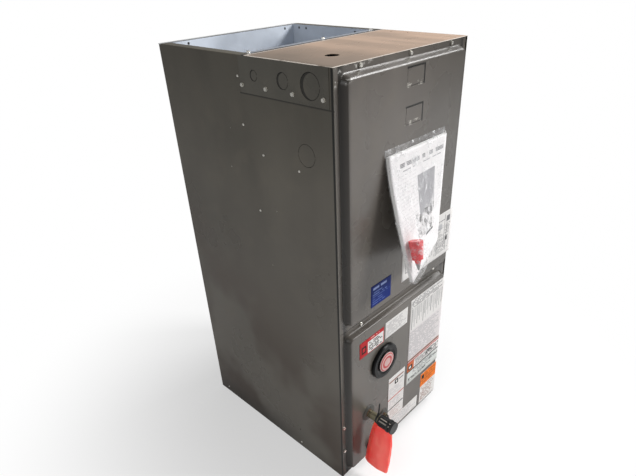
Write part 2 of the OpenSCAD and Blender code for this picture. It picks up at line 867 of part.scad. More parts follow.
// temperature bulb strapped to the header, with its capillary to the valve head
module sensing_bulb() {
    z = suction_z + 46;
    x = suction_x + 46 * tan(slab_lean);
    b = [x, header_y - header_r - 6.3, z];
    v = [liquid_x + 31, header_y, liquid_z + valve_drop + valve_h / 2];
    color("darkgoldenrod") {
        rod(b, b + [40 * tan(slab_lean), 0, 40], 6);
        swept_tube(curve([b, b + [-6, -1, -16], b + [22, -3, -46], v + [-2, -13, -34], v + [12, -8, -18],
            v + [6, 0, 0], v + [3, 0, 0], v], 4), 1.2, 6, [0, 1, 0]);
    }
}

// controls

module control_panel() {
    color("silver") {
        box(panel_x0, panel_x1, panel_y, panel_y + galv_t, panel_z0, panel_z1);
        for (x = [panel_x0, panel_x1 - galv_t])
            box(x, x + galv_t, panel_y, partition_y, panel_z0, panel_z1);
        for (z = [panel_z0, panel_z1 - galv_t])
            box(panel_x0, panel_x1, panel_y - 8, panel_y, z, z + galv_t);
    }
}

module transformer() {
    x = panel_x0 + 74;
    z = panel_z0 + 34;
    color("darkslategray")
        translate([x, panel_y, z]) {
            box(-32, 32, -1.5, 0, -24, 24);
            box(-24, 24, -42, -1.5, -8, 8);
            box(-24, -14, -42, -1.5, -22, 22);
            box(14, 24, -42, -1.5, -22, 22);
            translate([0, -38, 0]) y_cylinder(36, 13);
            for (z = [-22, 8]) box(-24, 24, -42, -1.5, z, z + 14);
        }
}

module control_board() {
    x0 = panel_x0 + 10;
    z0 = board_z;
    color("seagreen") {
        box(x0, x0 + 124, panel_y - 9.6, panel_y - 8, z0, z0 + 72);
        for (x = [x0 + 6, x0 + 118], z = [z0 + 6, z0 + 66]) at_front(x, panel_y, z) cylinder(h = 8, r = 2.5);
        for (i = [0 : 6])
            box(x0 + 14 + 14 * i, x0 + 24 + 14 * i, panel_y - 18, panel_y - 9.6,
                connector_z, connector_z + 8);
        box(x0 + 70, x0 + 92, panel_y - 24, panel_y - 9.6, z0 + 30, z0 + 58);
        at_front(x0 + 40, panel_y - 9.6, z0 + 44) cylinder(h = 16, r = 7);
    }
}

module blower_relay() {
    x = panel_x1 - 20;
    z = panel_z0 + 36;
    color("black")
        translate([x, panel_y, z]) {
            box(-18, 18, -34, 0, -20, 20);
            for (dx = [-12, -4, 4, 12]) box(dx - 3, dx + 3, -35.2, -34, -1, 7);
            for (dx = [-12, -4, 4, 12]) box(dx - 0.4, dx + 0.4, -42, -35.2, 0, 6);
        }
}

// supply terminals on the deck's front
module terminal_block() {
    color("ivory")
        translate([40, deck_front_y + 20, deck_z + galv_t])
            difference() {
                box(-45, 45, -12, 12, 0, 22);
                for (x = [-33, -11, 11, 33]) translate([x - 8, -13, 8]) cube([16, 26, 15]);
            }
}

// wires from the board, through a bushing in the deck, to the blower's connector
module wire_harness() {
    top = [panel_x0 + 29, panel_y - 14, connector_z - 0.3];
    color("black") {
        swept_tube(curve([top, top + [0, 0, -20], [harness_x, harness_y, deck_z + 36],
            [harness_x, harness_y, deck_z + 12], [harness_x, harness_y, deck_z - 5]], 4),
            harness_r, 10, [1, 0, 0]);
        translate([harness_x, harness_y, deck_z - 1.2])
            difference() {
                union() {
                    cylinder(h = 1.1, r = bushing_r);
                    translate([0, 0, 1.1]) cylinder(h = galv_t + 0.2, r = bushing_r - 1.6);
                    translate([0, 0, galv_t + 1.3]) cylinder(h = 1.2, r = bushing_r);
                }
                translate([0, 0, -1]) cylinder(h = 8, r = harness_r + 0.2);
            }
        box(harness_x - 9, harness_x + 9, harness_y - 10, harness_y + 12, deck_z - 26, deck_z - 5);
    }
}

// screws

module casing_screws() {
    color("gainsboro")
        both_sides() {
            for (y = cover_screw_ys) at_wall(y, cover_screw_z) hex_screw(2 * sheet_t);
            for (s = wall_screws) at_wall(s[0], s[1]) translate([0, 0, -sheet_t]) wall_screw(sheet_t);
            for (z = back_screw_zs) back_screw_place(z) hex_screw(2 * sheet_t);
        }
}

module opening_screws() {
    color("white") {
        for (x = lip_screw_xs) lip_screw_place(x) hex_screw(galv_t);
        heater_screw_places() hex_screw(2 * galv_t);
    }
}

// blower

function scroll_r(a) = scroll_r_max - (scroll_r_max - scroll_r_min) * a / scroll_sweep;

function scroll_points(grow) = [for (i = [0 : scroll_steps])
    let (a = scroll_sweep * i / scroll_steps, r = scroll_r(a) + grow)
        [fan_y + r * cos(-a), fan_z + r * sin(-a)]];

module scroll_outline(grow) {
    polygon(concat([[neck_y1 + grow, neck_top]], scroll_points(grow), [[neck_y0 - grow, neck_top]]));
}

// turns an outline drawn in Y and Z to stand across X
module across(x, w) {
    translate([x, 0, 0]) rotate([90, 0, 90]) linear_extrude(w) children();
}

module blower_side_plates() {
    color("silver")
        both_sides()
            difference() {
                union() {
                    across(housing_w / 2, housing_t)
                        union() {
                            scroll_outline(scroll_lip);
                            translate([head_y0, head_z])
                                square([neck_y1 + scroll_lip - head_y0, neck_top - head_z]);
                        }
                    box(housing_w / 2 + housing_t, housing_w / 2 + housing_t + slide_w,
                        head_y0, neck_y1, slide_z, slide_z + housing_t);
                }
                translate([housing_w / 2 - 1, fan_y, fan_z]) x_cylinder(4, inlet_r + ring_w - 3);
            }
}

module blower_scroll() {
    cut_z = fan_z - scroll_r_min * sin(scroll_sweep);
    inner = concat([[neck_y1 - housing_t, neck_top + 1]], scroll_points(-housing_t),
        [[neck_y0 + housing_t, cut_z - housing_t], [neck_y0 + housing_t, neck_top + 1]]);
    color("silver")
        across(-housing_w / 2, housing_w)
            difference() {
                scroll_outline(0);
                polygon(inner);
            }
}

// bell-mouthed rings in the two inlets
module blower_inlet_rings() {
    x = housing_w / 2 + housing_t;
    color("gainsboro")
        both_sides()
            translate([x, fan_y, fan_z])
                rotate([0, 90, 0])
                    rotate_extrude()
                        polygon(concat(
                            [[inlet_r + ring_w, 0], [inlet_r + ring_w, 1]],
                            [for (i = [0 : 6]) let (a = 15 * i)
                                [inlet_r + 7 - 7 * sin(a), 1 - 7 * (1 - cos(a))]],
                            [[inlet_r, -10], [inlet_r + 1, -10]],
                            [for (i = [6 : -1 : 0]) let (a = 15 * i)
                                [inlet_r + 7 - 6 * sin(a), -6 * (1 - cos(a))]]));
}

module motor_case() {
    color("dimgray")
        translate([motor_x, fan_y, fan_z])
            difference() {
                union() {
                    x_cylinder(motor_l, motor_r - 6);
                    translate([12, 0, 0]) x_cylinder(motor_l - 24, motor_r);
                    translate([motor_l, 0, 0]) x_cylinder(6, 16);
                }
                translate([12, 0, 0]) x_cylinder(motor_l, shaft_r + shaft_gap);
                for (i = [0 : 11])
                    rotate([30 * i, 0, 0]) translate([-1, 0, motor_r - 22]) rotate([0, 90, 0])
                        cylinder(h = 5, r = 4, $fn = 24);
            }
}

// band round the motor and three arms out to the inlet plate
module motor_mount() {
    band_x = motor_x + 22;
    plate_x = -housing_w / 2 - housing_t;
    color("silver")
        translate([0, fan_y, fan_z]) {
            translate([band_x, 0, 0])
                difference() {
                    x_cylinder(band_w, motor_r + 1.6);
                    translate([-1, 0, 0]) x_cylinder(band_w + 2, motor_r + 0.05);
                }
            for (a = [30, 150, 270])
                rotate([a, 0, 0]) {
                    box(band_x + 4, band_x + 4 + 2.4, -9, 9, motor_r + 1.2, arm_reach);
                    box(band_x + 4, plate_x - 0.2, -9, 9, arm_reach - 2.4, arm_reach);
                    box(plate_x - 2.6, plate_x - 0.2, -9, 9, arm_reach - 2.4, arm_reach + 10);
                }
        }
}

module capacitor() {
    x = housing_w / 2 + housing_t + cap_r + 1.8;
    color("gainsboro") {
        translate([x, cap_y, cap_z]) {
            cylinder(h = cap_h, r = cap_r);
            translate([0, 0, cap_h]) cylinder(h = 2, r = cap_r - 2);
            for (dx = [-8, 8]) translate([dx - 3, -0.5, cap_h + 2]) cube([6, 1, 4]);
        }
        translate([x, cap_y, cap_z + 26])
            difference() {
                union() {
                    cylinder(h = 12, r = cap_r + 1.4);
                    translate([-cap_r - 1.8, -cap_r - 12, 0]) cube([1.4, 2 * cap_r + 24, 12]);
                }
                translate([0, 0, -1]) cylinder(h = 14, r = cap_r + 0.05);
            }
    }
}

module motor_lead() {
    start = [motor_x - 0.3, fan_y - 34, fan_z + 34];
    plug = [harness_x, harness_y - 10.3, deck_z - 16];
    color("black") {
        swept_tube(curve([start, start + [-3, 0, 0], start + [-6, 0, 0], start + [-12, -5, 8],
            [harness_x - 6, fan_y - 66, fan_z + 96],
            [harness_x, harness_y - 52, deck_z - 44], [harness_x, harness_y - 46, deck_z - 18],
            plug + [0, -17, 0]], 4), 3.5, 10, [0, 0, 1]);
        box(plug[0] - 8, plug[0] + 8, plug[1] - 17, plug[1], plug[2] - 9, plug[2] + 9);
    }
}

function blade_side(bulge) = [for (i = [0 : 5])
    let (t = i / 5, r = wheel_r - blade_l + blade_l * t, a = 10 * t * t + bulge * 57.3 / r)
        [r * cos(a), r * sin(a)]];

// forward-curved blades between a centre disc and two end rings
module blower_wheel() {
    front = blade_side(0);
    back = blade_side(blade_t);
    shape = concat(front, [for (i = [5 : -1 : 0]) back[i]]);
    color("lightgray")
        translate([0, fan_y, fan_z])
            rotate([90, 0, 90]) {
                translate([0, 0, -wheel_w / 2])
                    linear_extrude(wheel_w)
                        for (i = [0 : blade_count - 1]) rotate(360 * i / blade_count) polygon(shape);
                for (z = [-wheel_w / 2, wheel_w / 2 - wheel_shroud_w])
                    translate([0, 0, z])
                        difference() {
                            cylinder(h = wheel_shroud_w, r = wheel_r + 1, $fn = 96);
                            translate([0, 0, -1]) cylinder(h = wheel_shroud_w + 2, r = wheel_r - 2, $fn = 96);
                        }
                translate([0, 0, wheel_disc_x])
                    difference() {
                        cylinder(h = galv_t, r = wheel_r - 1, $fn = 96);
                        translate([0, 0, -1]) cylinder(h = galv_t + 2, r = hub_r + 0.1);
                        for (i = [0 : 5])
                            rotate(60 * i) translate([62, 0, -1]) cylinder(h = galv_t + 2, r = 14);
                    }
            }
}

module wheel_hub() {
    color("silver")
        translate([wheel_disc_x - 10, fan_y, fan_z])
            difference() {
                union() {
                    x_cylinder(hub_l, hub_r);
                    translate([10 + galv_t, 0, 0]) x_cylinder(2, hub_r + 7);
                }
                translate([-1, 0, 0]) x_cylinder(hub_l + 2, shaft_r + 0.02);
                translate([hub_l - 7, 0, 0]) cylinder(h = hub_r + 2, r = 3);
            }
}

module motor_shaft() {
    color("silver")
        translate([motor_x + 13, fan_y, fan_z]) x_cylinder(wheel_disc_x + hub_l - motor_x - 15, shaft_r);
}

// doors

// section of a pressed wall: u inwards, v outwards, from (0, s) to (run, rise)
function wall_curve(run, rise) = [for (i = [0 : 8])
    let (t = i / 8) [run * t, rise * (1 - cos(180 * t)) / 2]];

function wall_inner(run, rise, s) = [for (i = [8 : -1 : 0])
    let (t = i / 8, g = rise * PI / 2 * sin(180 * t) / run, n = sqrt(1 + g * g))
        [run * t + s * g / n, rise * (1 - cos(180 * t)) / 2 - s / n]];

module round_rect(w, h, r) {
    square([w - 2 * r, h], center = true);
    square([w, h - 2 * r], center = true);
    for (sx = [-1, 1], sy = [-1, 1]) translate([sx * (w / 2 - r), sy * (h / 2 - r)]) circle(r = r);
}

// raised field with a curved wall all round, foot at z = 0..s, lapped into the sheet round it
module pressed_field(w, h, r, rise, run, s) {
    section = concat([[-field_lap, 0]], wall_curve(run, rise),
        [[run + field_lap, rise], [run + field_lap, rise - s]], wall_inner(run, rise, s),
        [[-field_lap, -s]]);
    translate([0, 0, s]) {
        for (k = [[w, h, 0], [h, w, 90], [w, h, 180], [h, w, 270]])
            rotate(k[2])
                translate([-k[0] / 2 + r, -k[1] / 2, 0])
                    rotate([90, 0, 90])
                        linear_extrude(k[0] - 2 * r) polygon(section);
        for (sx = [-1, 1], sy = [-1, 1])
            translate([sx * (w / 2 - r), sy * (h / 2 - r), 0])
                rotate(sx > 0 ? (sy > 0 ? 0 : 270) : (sy > 0 ? 90 : 180))
                    rotate_extrude(angle = 90) polygon([for (p = section) [r - p[0], p[1]]]);
        translate([0, 0, rise - s]) linear_extrude(s) round_rect(w - 2 * run, h - 2 * run, r - run);
    }
}

module door_sheet(z0, z1) {
    w = 2 * door_x;
    h = z1 - z0;
    at_front(0, door_y, (z0 + z1) / 2) {
        linear_extrude(sheet_t)
            difference() {
                square([w, h], center = true);
                round_rect(w - 2 * door_flange_w, h - 2 * door_flange_w, emboss_r);
            }
        pressed_field(w - 2 * door_flange_w, h - 2 * door_flange_w, emboss_r, emboss_d, emboss_run, sheet_t);
    }
}

module door_liner(z0, z1) {
    inset = door_flange_w + emboss_run + 3;
    y1 = field_y + sheet_t;
    box(-door_x + inset, door_x - inset, y1, y1 + door_liner_t, z0 + inset, z1 - inset);
}

module upper_door() {
    color("dimgray")
        difference() {
            door_sheet(upper_z0, upper_z1);
            for (z = breaker_zs) at_front(breaker_x, field_y + 3, z) square_slit(breaker_w, breaker_h, 6);
            for (x = upper_top_screw_xs) at_front(x, door_y, upper_z1 - edge_screw_inset) screw_hole(3);
            at_front(upper_low_screw_x, door_y, upper_z0 + edge_screw_inset) screw_hole(3);
        }
}

module upper_door_liner() {
    color("slategray")
        difference() {
            door_liner(upper_z0, upper_z1);
            for (z = breaker_zs)
                box(breaker_x - breaker_w / 2 - 3, breaker_x + breaker_w / 2 + 3, field_y, door_y + 5,
                    z - breaker_h / 2 - 3, z + breaker_h / 2 + 3);
        }
}

module upper_door_screws() {
    l = sheet_t + door_seat_gap + 2 * sheet_t + galv_t;
    color("gainsboro") {
        for (x = upper_top_screw_xs) at_front(x, door_y - sheet_t, upper_z1 - edge_screw_inset) hex_screw(l);
        at_front(upper_low_screw_x, door_y - sheet_t, upper_z0 + edge_screw_inset) hex_screw(l);
    }
}

module pipe_holes(extra) {
    translate([suction_x, field_y - 5, suction_z]) y_cylinder(30, grommet_r + extra);
    translate([liquid_x, field_y - 5, liquid_z]) y_cylinder(30, liquid_grommet_r + extra);
    for (d = drain_ports)
        translate([d[0], field_y - 5, d[1]]) y_cylinder(30, drain_r_out + drain_clear + extra);
}

module lower_door() {
    color("dimgray")
        difference() {
            door_sheet(lower_z0, lower_z1);
            pipe_holes(0);
            at_front(lower_top_screw_x, door_y, lower_z1 - edge_screw_inset) screw_hole(3);
            both_sides()
                for (z = lower_side_screw_zs) at_front(door_x - edge_screw_inset, door_y, z) screw_hole(3);
        }
}

module lower_door_liner() {
    color("slategray")
        difference() {
            door_liner(lower_z0, lower_z1);
            pipe_holes(4);
        }
}

module lower_door_screws() {
    l = sheet_t + door_seat_gap + sheet_t;
    color("gainsboro") {
        at_front(lower_top_screw_x, door_y - sheet_t, lower_z1 - edge_screw_inset)
            hex_screw(l + sheet_t + galv_t);
        both_sides()
            for (z = lower_side_screw_zs)
                at_front(door_x - edge_screw_inset, door_y - sheet_t, z) hex_screw(l);
    }
}

// plain two-part disc: dished ring with a raised centre
module badge() {
    r = badge_dia / 2;
    color("black")
        at_front(badge_x, field_y, badge_z)
            rotate_extrude()
                polygon([[0, 0], [r, 0], [r, badge_t - 3], [r - 3, badge_t], [r - 12, badge_t],
                    [r - 19, badge_t - 3], [r - 20, badge_t - 3], [r - 22, badge_t + 2],
                    [r - 27, badge_t + 3.5], [0, badge_t + 4]]);
}

module grommet(r_pipe, r_hole) {
    rotate_extrude()
        polygon([[r_pipe + grommet_gap, -3], [r_hole + 4, -3], [r_hole + 4, -sheet_t - 0.05],
            [r_hole - 0.05, -sheet_t - 0.05], [r_hole - 0.05, 0.05], [r_hole + 4, 0.05],
            [r_hole + 2, 3], [r_pipe + grommet_gap, 4]]);
}

module pipe_grommets() {
    color("black") {
        at_front(suction_x, field_y, suction_z) grommet(suction_r, grommet_r);
        at_front(liquid_x, field_y, liquid_z) grommet(liquid_r, liquid_grommet_r);
    }
}

// literature pack

// front face of the booklet: s runs from its left edge, t from its top
function book_stand(s, t) = book_lift * max(1 - s, 0) * pow(max(t, 0), 1.25);
function book_drop(s, t) = book_h * t * (1 - 0.035 * (1 - s) * t);
function book_point(s, t, off) =
    [book_x + book_w * s, book_y - book_stand(s, t) - off, book_top - book_drop(s, t)];

// slab between two offsets from that face, grown by an edge margin, and by a hem along its top
module book_slab(off0, off1, edge, hem) {
    ns = 7;
    nt = 10;
    across_s = concat(edge > 0 ? [-edge / book_w] : [], [for (i = [0 : ns]) i / ns],
        edge > 0 ? [1 + edge / book_w] : []);
    down_t = concat(hem > 0 ? [-hem / book_h] : [], [for (j = [0 : nt]) j / nt],
        edge > 0 ? [1 + edge / book_h] : []);
    row = len(across_s);
    nc = row - 1;
    nr = len(down_t) - 1;
    n = row * len(down_t);
    points = concat([for (t = down_t, s = across_s) book_point(s, t, off0(s, t))],
        [for (t = down_t, s = across_s) book_point(s, t, off1(s, t))]);
    faces = concat(
        [for (j = [0 : nr - 1], i = [0 : nc - 1], k = [0, 1]) let (a = j * row + i)
            k == 0 ? [a, a + 1, a + row] : [a + 1, a + row + 1, a + row]],
        [for (j = [0 : nr - 1], i = [0 : nc - 1], k = [0, 1]) let (a = n + j * row + i)
            k == 0 ? [a, a + row, a + 1] : [a + 1, a + row, a + row + 1]],
        [for (i = [0 : nc - 1], k = [0, 1]) k == 0 ? [i, n + i, i + 1] : [i + 1, n + i, n + i + 1]],
        [for (i = [0 : nc - 1], k = [0, 1]) let (a = nr * row + i)
            k == 0 ? [a, a + 1, n + a] : [a + 1, n + a + 1, n + a]],
        [for (j = [0 : nr - 1], k = [0, 1]) let (a = j * row)
            k == 0 ? [a, a + row, n + a] : [a + row, n + a + row, n + a]],
        [for (j = [0 : nr - 1], k = [0, 1]) let (a = j * row + nc)
            k == 0 ? [a, n + a, a + row] : [a + row, n + a, n + a + row]]);
    polyhedron(points = points, faces = faces, convexity = 6);
}

function bag_front(s, t) = book_t + bag_gap
    + bag_bulge * exp(-pow((s - plug_s) / bag_spread, 2) - pow((t - plug_t) / bag_spread, 2));

module booklet() {
    color("white") book_slab(function(s, t) 0, function(s, t) book_t, 0, 0);
}

// clear film pack: one film behind the booklet, against the door at its top, and one in front
module literature_bag() {
    color("lightblue", 0.4) {
        book_slab(function(s, t) -bag_gap - bag_t, function(s, t) -bag_gap, bag_edge, bag_hem);
        book_slab(function(s, t) bag_front(s, t), function(s, t) bag_front(s, t) + bag_t,
            bag_edge, bag_hem);
    }
}

// spare drain plug in the pack, with a tapered tail
module spare_plug() {
    p = book_point(plug_s, plug_t, book_t + bag_gap + plug_r + 0.6);
    color("crimson")
        translate(p)
            rotate([-16, 8, 0]) {
                translate([0, 0, -plug_l / 2]) cylinder(h = plug_l, r1 = plug_r - plug_taper, r2 = plug_r - 0.6);
                translate([0, 0, plug_l / 2]) cylinder(h = plug_head_h, r = plug_r - 0.2, $fn = 6);
                translate([0, 0, -plug_l / 2 - plug_tail_l])
                    cylinder(h = plug_tail_l, r1 = 2, r2 = plug_r / 2);
            }
}

// filter

module filter_frame() {
    w = filter_w / 2;
    color("burlywood")
        difference() {
            box(-w, w, filter_y, filter_y + filter_d, filter_z, filter_top_z);
            box(-w + 16, w - 16, filter_y + 16, filter_y + filter_d - 16, filter_z - 1, filter_top_z + 1);
            box(-w + filter_wall, w - filter_wall, filter_y + filter_wall,
                filter_y + filter_d - filter_wall, filter_z + filter_lip, filter_top_z - filter_lip);
        }
}

module filter_media() {
    w = filter_w - 2 * filter_wall;
    l = filter_d - 2 * filter_wall;
    pitch = l / filter_pleats;
    h = filter_t - 2 * filter_lip - cloth_t;
    low = [for (i = [0 : 2 * filter_pleats]) [i * pitch / 2, i % 2 == 0 ? 0 : h]];
    high = [for (i = [2 * filter_pleats : -1 : 0]) [i * pitch / 2, (i % 2 == 0 ? 0 : h) + cloth_t]];
    color("whitesmoke")
        translate([-w / 2, filter_y + filter_wall, filter_z + filter_lip])
            rotate([90, 0, 90])
                linear_extrude(w) polygon(concat(low, high));
}

// cap, ties and pouch on the suction stub

module stub_cap() {
    r = stub_cap_r;
    color("black")
        translate([suction_x, stub_cap_y, suction_z])
            difference() {
                union() {
                    y_cylinder(cap_len, r);
                    y_cylinder(5, r + 2.5);
                    for (i = [0 : 11])
                        rotate([0, 30 * i, 0])
                            translate([-1.4, 8, r - 0.5]) cube([2.8, cap_len - 10, cap_rib_h + 0.5]);
                }
                translate([0, 3.5, 0]) y_cylinder(cap_len, suction_r + stub_cap_gap);
            }
}

module tie(y, r, tail, lean) {
    translate([suction_x, y, suction_z]) {
        difference() {
            y_cylinder(4.6, r + 1.5);
            translate([0, -1, 0]) y_cylinder(6.6, r);
        }
        rotate([0, lean, 0]) {
            translate([-4, -0.6, r + 1]) cube([7, 5.8, 5]);
            translate([-0.8, 0.2, r + 5]) cube([1.3, 4.2, tail]);
        }
    }
}

module cap_ties() {
    color("black") {
        tie(stub_cap_y + cap_len + 4, suction_r + 0.3, 34, 6);
        tie(stub_cap_y + 12, stub_cap_r + cap_rib_h + 0.3, 30, -12);
    }
}

// half-filled pouch: gathered at its top, full in the middle, with soft folds down its sides
module transit_pouch() {
    levels = 12;
    around = 28;
    function width(t) = 28 + 7 * sin(90 * min(1, t * 1.6)) + 3 * t;
    function thick(t) = 2.5 + (pouch_t / 2 - 2.5) * sin(min(1, t * 1.5) * 90) * (1 - 0.35 * t * t);
    function fold(t, a) = 1 + 0.07 * (1 - 0.5 * t) * cos(7 * a);
    points = [for (j = [0 : levels], i = [0 : around - 1])
        let (t = j / levels, a = 360 * i / around, f = fold(t, a))
            [suction_x - pouch_lean * t + thick(t) * f * sin(a),
             stub_cap_y + 34 + 3 * t * t + width(t) * f * cos(a),
             pouch_top - pouch_slope * (1 - t) * (0.5 - 0.5 * cos(a))
                 - (pouch_l - pouch_slope * (1 - t)) * t]];
    n = around * (levels + 1);
    faces = concat(
        [for (j = [0 : levels - 1], i = [0 : around - 1], k = [0, 1])
            let (a = j * around + i, b = j * around + (i + 1) % around)
                k == 0 ? [a, a + around, b] : [b, a + around, b + around]],
        [[for (i = [0 : around - 1]) i]],
        [[for (i = [around - 1 : -1 : 0]) levels * around + i]]);
    color("red") polyhedron(points = points, faces = faces, convexity = 6);
}

left_side_panel();
right_side_panel();
back_panel();
top_cover();
base_frame();
centre_rail();
supply_collar();
heater_partition();
heater_blank_plate();
blower_deck();
blower_rails();
side_liners();
back_liner();
filter_rails();
drain_pan();
coil_fins();
coil_tube_sheets();
return_bends();
coil_cap();
delta_plates();
suction_line();
liquid_line();
expansion_valve();
distributor_tubes();
sensing_bulb();
control_panel();
transformer();
control_board();
blower_relay();
terminal_block();
wire_harness();
casing_screws();
opening_screws();
blower_side_plates();
blower_scroll();
blower_inlet_rings();
motor_case();
motor_mount();
capacitor();
motor_lead();
blower_wheel();
wheel_hub();
motor_shaft();
upper_door();
upper_door_liner();
upper_door_screws();
literature_bag();
booklet();
spare_plug();
lower_door();
lower_door_liner();
lower_door_screws();
badge();
pipe_grommets();
filter_media();
filter_frame();
stub_cap();
cap_ties();
transit_pouch();
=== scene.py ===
from math import cos, pi, radians, sin

import bmesh
import bpy
import numpy as np
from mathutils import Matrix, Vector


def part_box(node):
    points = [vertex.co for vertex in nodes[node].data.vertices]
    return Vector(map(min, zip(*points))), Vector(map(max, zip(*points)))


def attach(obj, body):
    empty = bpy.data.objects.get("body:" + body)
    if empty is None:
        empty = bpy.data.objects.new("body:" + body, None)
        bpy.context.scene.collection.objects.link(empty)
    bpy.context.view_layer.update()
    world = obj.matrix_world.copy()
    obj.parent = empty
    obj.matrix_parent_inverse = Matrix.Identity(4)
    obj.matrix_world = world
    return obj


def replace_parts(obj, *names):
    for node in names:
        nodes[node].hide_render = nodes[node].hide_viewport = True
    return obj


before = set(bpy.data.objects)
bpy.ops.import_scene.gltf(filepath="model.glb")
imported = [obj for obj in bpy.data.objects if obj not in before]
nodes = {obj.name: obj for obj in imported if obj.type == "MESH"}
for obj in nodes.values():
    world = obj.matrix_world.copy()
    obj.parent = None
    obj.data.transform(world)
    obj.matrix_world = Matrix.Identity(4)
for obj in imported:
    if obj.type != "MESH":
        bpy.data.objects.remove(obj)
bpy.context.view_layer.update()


# Camera
# A phone held at chest height, ahead of the cabinet's front left corner and
# looking down at it. Its lens and turn follow the cabinet's edges in the photo.
lens = bpy.data.cameras.new("photo_lens")
lens.sensor_width = 36
lens.lens = 29.18
lens.shift_x = -0.0151
lens.shift_y = 0.0492
lens.clip_start = 0.05
camera = bpy.data.objects.new("photo_camera", lens)
camera.location = (-0.8985, -0.9033, 1.2426)
camera.rotation_euler = [radians(a) for a in (58.605, 1.883, -46.953)]
bpy.context.scene.collection.objects.link(camera)
bpy.context.scene.camera = camera


# Painted casing
# Two side panels, a back panel, a top cover and two doors, all pressed from
# thin sheet with a baked dark olive-brown enamel, handled and dusty.
class Signal:
    """One output in a shader tree. An operator on it adds one Math node."""

    def __init__(self, shading, socket):
        self.shading, self.socket = shading, socket

    def __add__(self, other):
        return self.shading.maths("ADD", self, other)

    def __sub__(self, other):
        return self.shading.maths("SUBTRACT", self, other)

    def __rsub__(self, other):
        return self.shading.maths("SUBTRACT", other, self)

    def __mul__(self, other):
        return self.shading.maths("MULTIPLY", self, other)

    def __gt__(self, other):
        return self.shading.maths("GREATER_THAN", self, other)

    def __lt__(self, other):
        return self.shading.maths("LESS_THAN", self, other)

    __radd__ = __add__
    __rmul__ = __mul__


class Shading:
    """The shader nodes of a material or of the world."""

    def __init__(self, owner):
        owner.use_nodes = True
        self.tree = owner.node_tree

    def add(self, kind, settings=None, sockets=None, out=0):
        """One node: its settings first, then the values or links of its sockets."""
        node = self.tree.nodes.new(kind)
        for name, value in (settings or {}).items():
            setattr(node, name, value)
        for key, value in (sockets or {}).items():
            self.feed(node.inputs[key], value)
        return Signal(self, node.outputs[out])

    def maths(self, operation, *values):
        """One Math node on the values."""
        return self.add("ShaderNodeMath", {"operation": operation}, dict(enumerate(values)))

    def feed(self, socket, value):
        """A link where the value is a signal, else the socket's own number or colour."""
        if isinstance(value, Signal):
            self.tree.links.new(value.socket, socket)
        elif socket.type == "RGBA":
            socket.default_value = (*value[:3], 1)
        else:
            socket.default_value = value


class Finish(Shading):
    """A material whose patterns lie on the object's own coordinates, or on a piece's UV map."""

    def __init__(self, name, **shader_values):
        self.material = bpy.data.materials.new(name)
        super().__init__(self.material)
        self.shader = next(n for n in self.tree.nodes if n.type == "BSDF_PRINCIPLED")
        self.set(**shader_values)
        self.place = self.add("ShaderNodeTexCoord", out="Object")

    def set(self, **shader_values):
        """Shader sockets by name, with an underscore for a space."""
        for name, value in shader_values.items():
            self.feed(self.shader.inputs[name.replace("_", " ")], value)

    def stretched(self, x, y, z):
        """The pattern's coordinates, each scaled by its own number."""
        return self.add("ShaderNodeMapping", None, {"Vector": self.place, "Scale": (x, y, z)})

    def noise(self, scale, detail=3.0, roughness=0.55, at=None):
        """Smooth noise from 0 to 1, with about scale lumps to a metre."""
        return self.add("ShaderNodeTexNoise", None,
                        {"Vector": at or self.place, "Scale": scale,
                         "Detail": detail, "Roughness": roughness})

    def cells(self, scale, at=None, feature="F1", out="Distance"):
        """Scattered cells, about scale of them to a metre: the distance from a cell's middle, or
        another feature or output of the same pattern."""
        return self.add("ShaderNodeTexVoronoi", {"feature": feature},
                        {"Vector": at or self.place, "Scale": scale}, out)

    def rise(self, value, low, high):
        """0 below low, 1 above high, smooth between; falls where low is above high."""
        return self.add("ShaderNodeMapRange", {"interpolation_type": "SMOOTHSTEP"},
                        {"Value": value, "From Min": low, "From Max": high})

    def range(self, value, low, high):
        """A 0 to 1 signal laid from low to high."""
        return self.add("ShaderNodeMapRange", None,
                        {"Value": value, "To Min": low, "To Max": high})

    def mix(self, mask, under, over):
        """The colour under, with over laid on it where mask is 1."""
        return self.add("ShaderNodeMix", {"data_type": "RGBA"}, {0: mask, 6: under, 7: over}, 2)

    def split(self, vector):
        """The three numbers of a vector."""
        first = self.add("ShaderNodeSeparateXYZ", None, {0: vector})
        return [Signal(self, socket) for socket in first.socket.node.outputs]

    def bump(self, height, depth, strength=1.0):
        """Relief of the given depth in metres."""
        return self.add("ShaderNodeBump", None,
                        {"Height": height, "Distance": depth, "Strength": strength})

    def coat(self, *names):
        """Puts the finish on CAD nodes or pieces in place of what they have."""
        for name in names:
            data = (nodes[name] if isinstance(name, str) else name).data
            data.materials.clear()
            data.materials.append(self.material)


bare_metal = (0.42, 0.4, 0.36)
# painted shade: a brown for the shadows under the cover's side flanges and in its knock-outs, and
# a black for the shadow down the gap at each front corner
gap_shade_brown, seam_shadow_black = (0.012, 0.011, 0.009), (0.004, 0.004, 0.003)


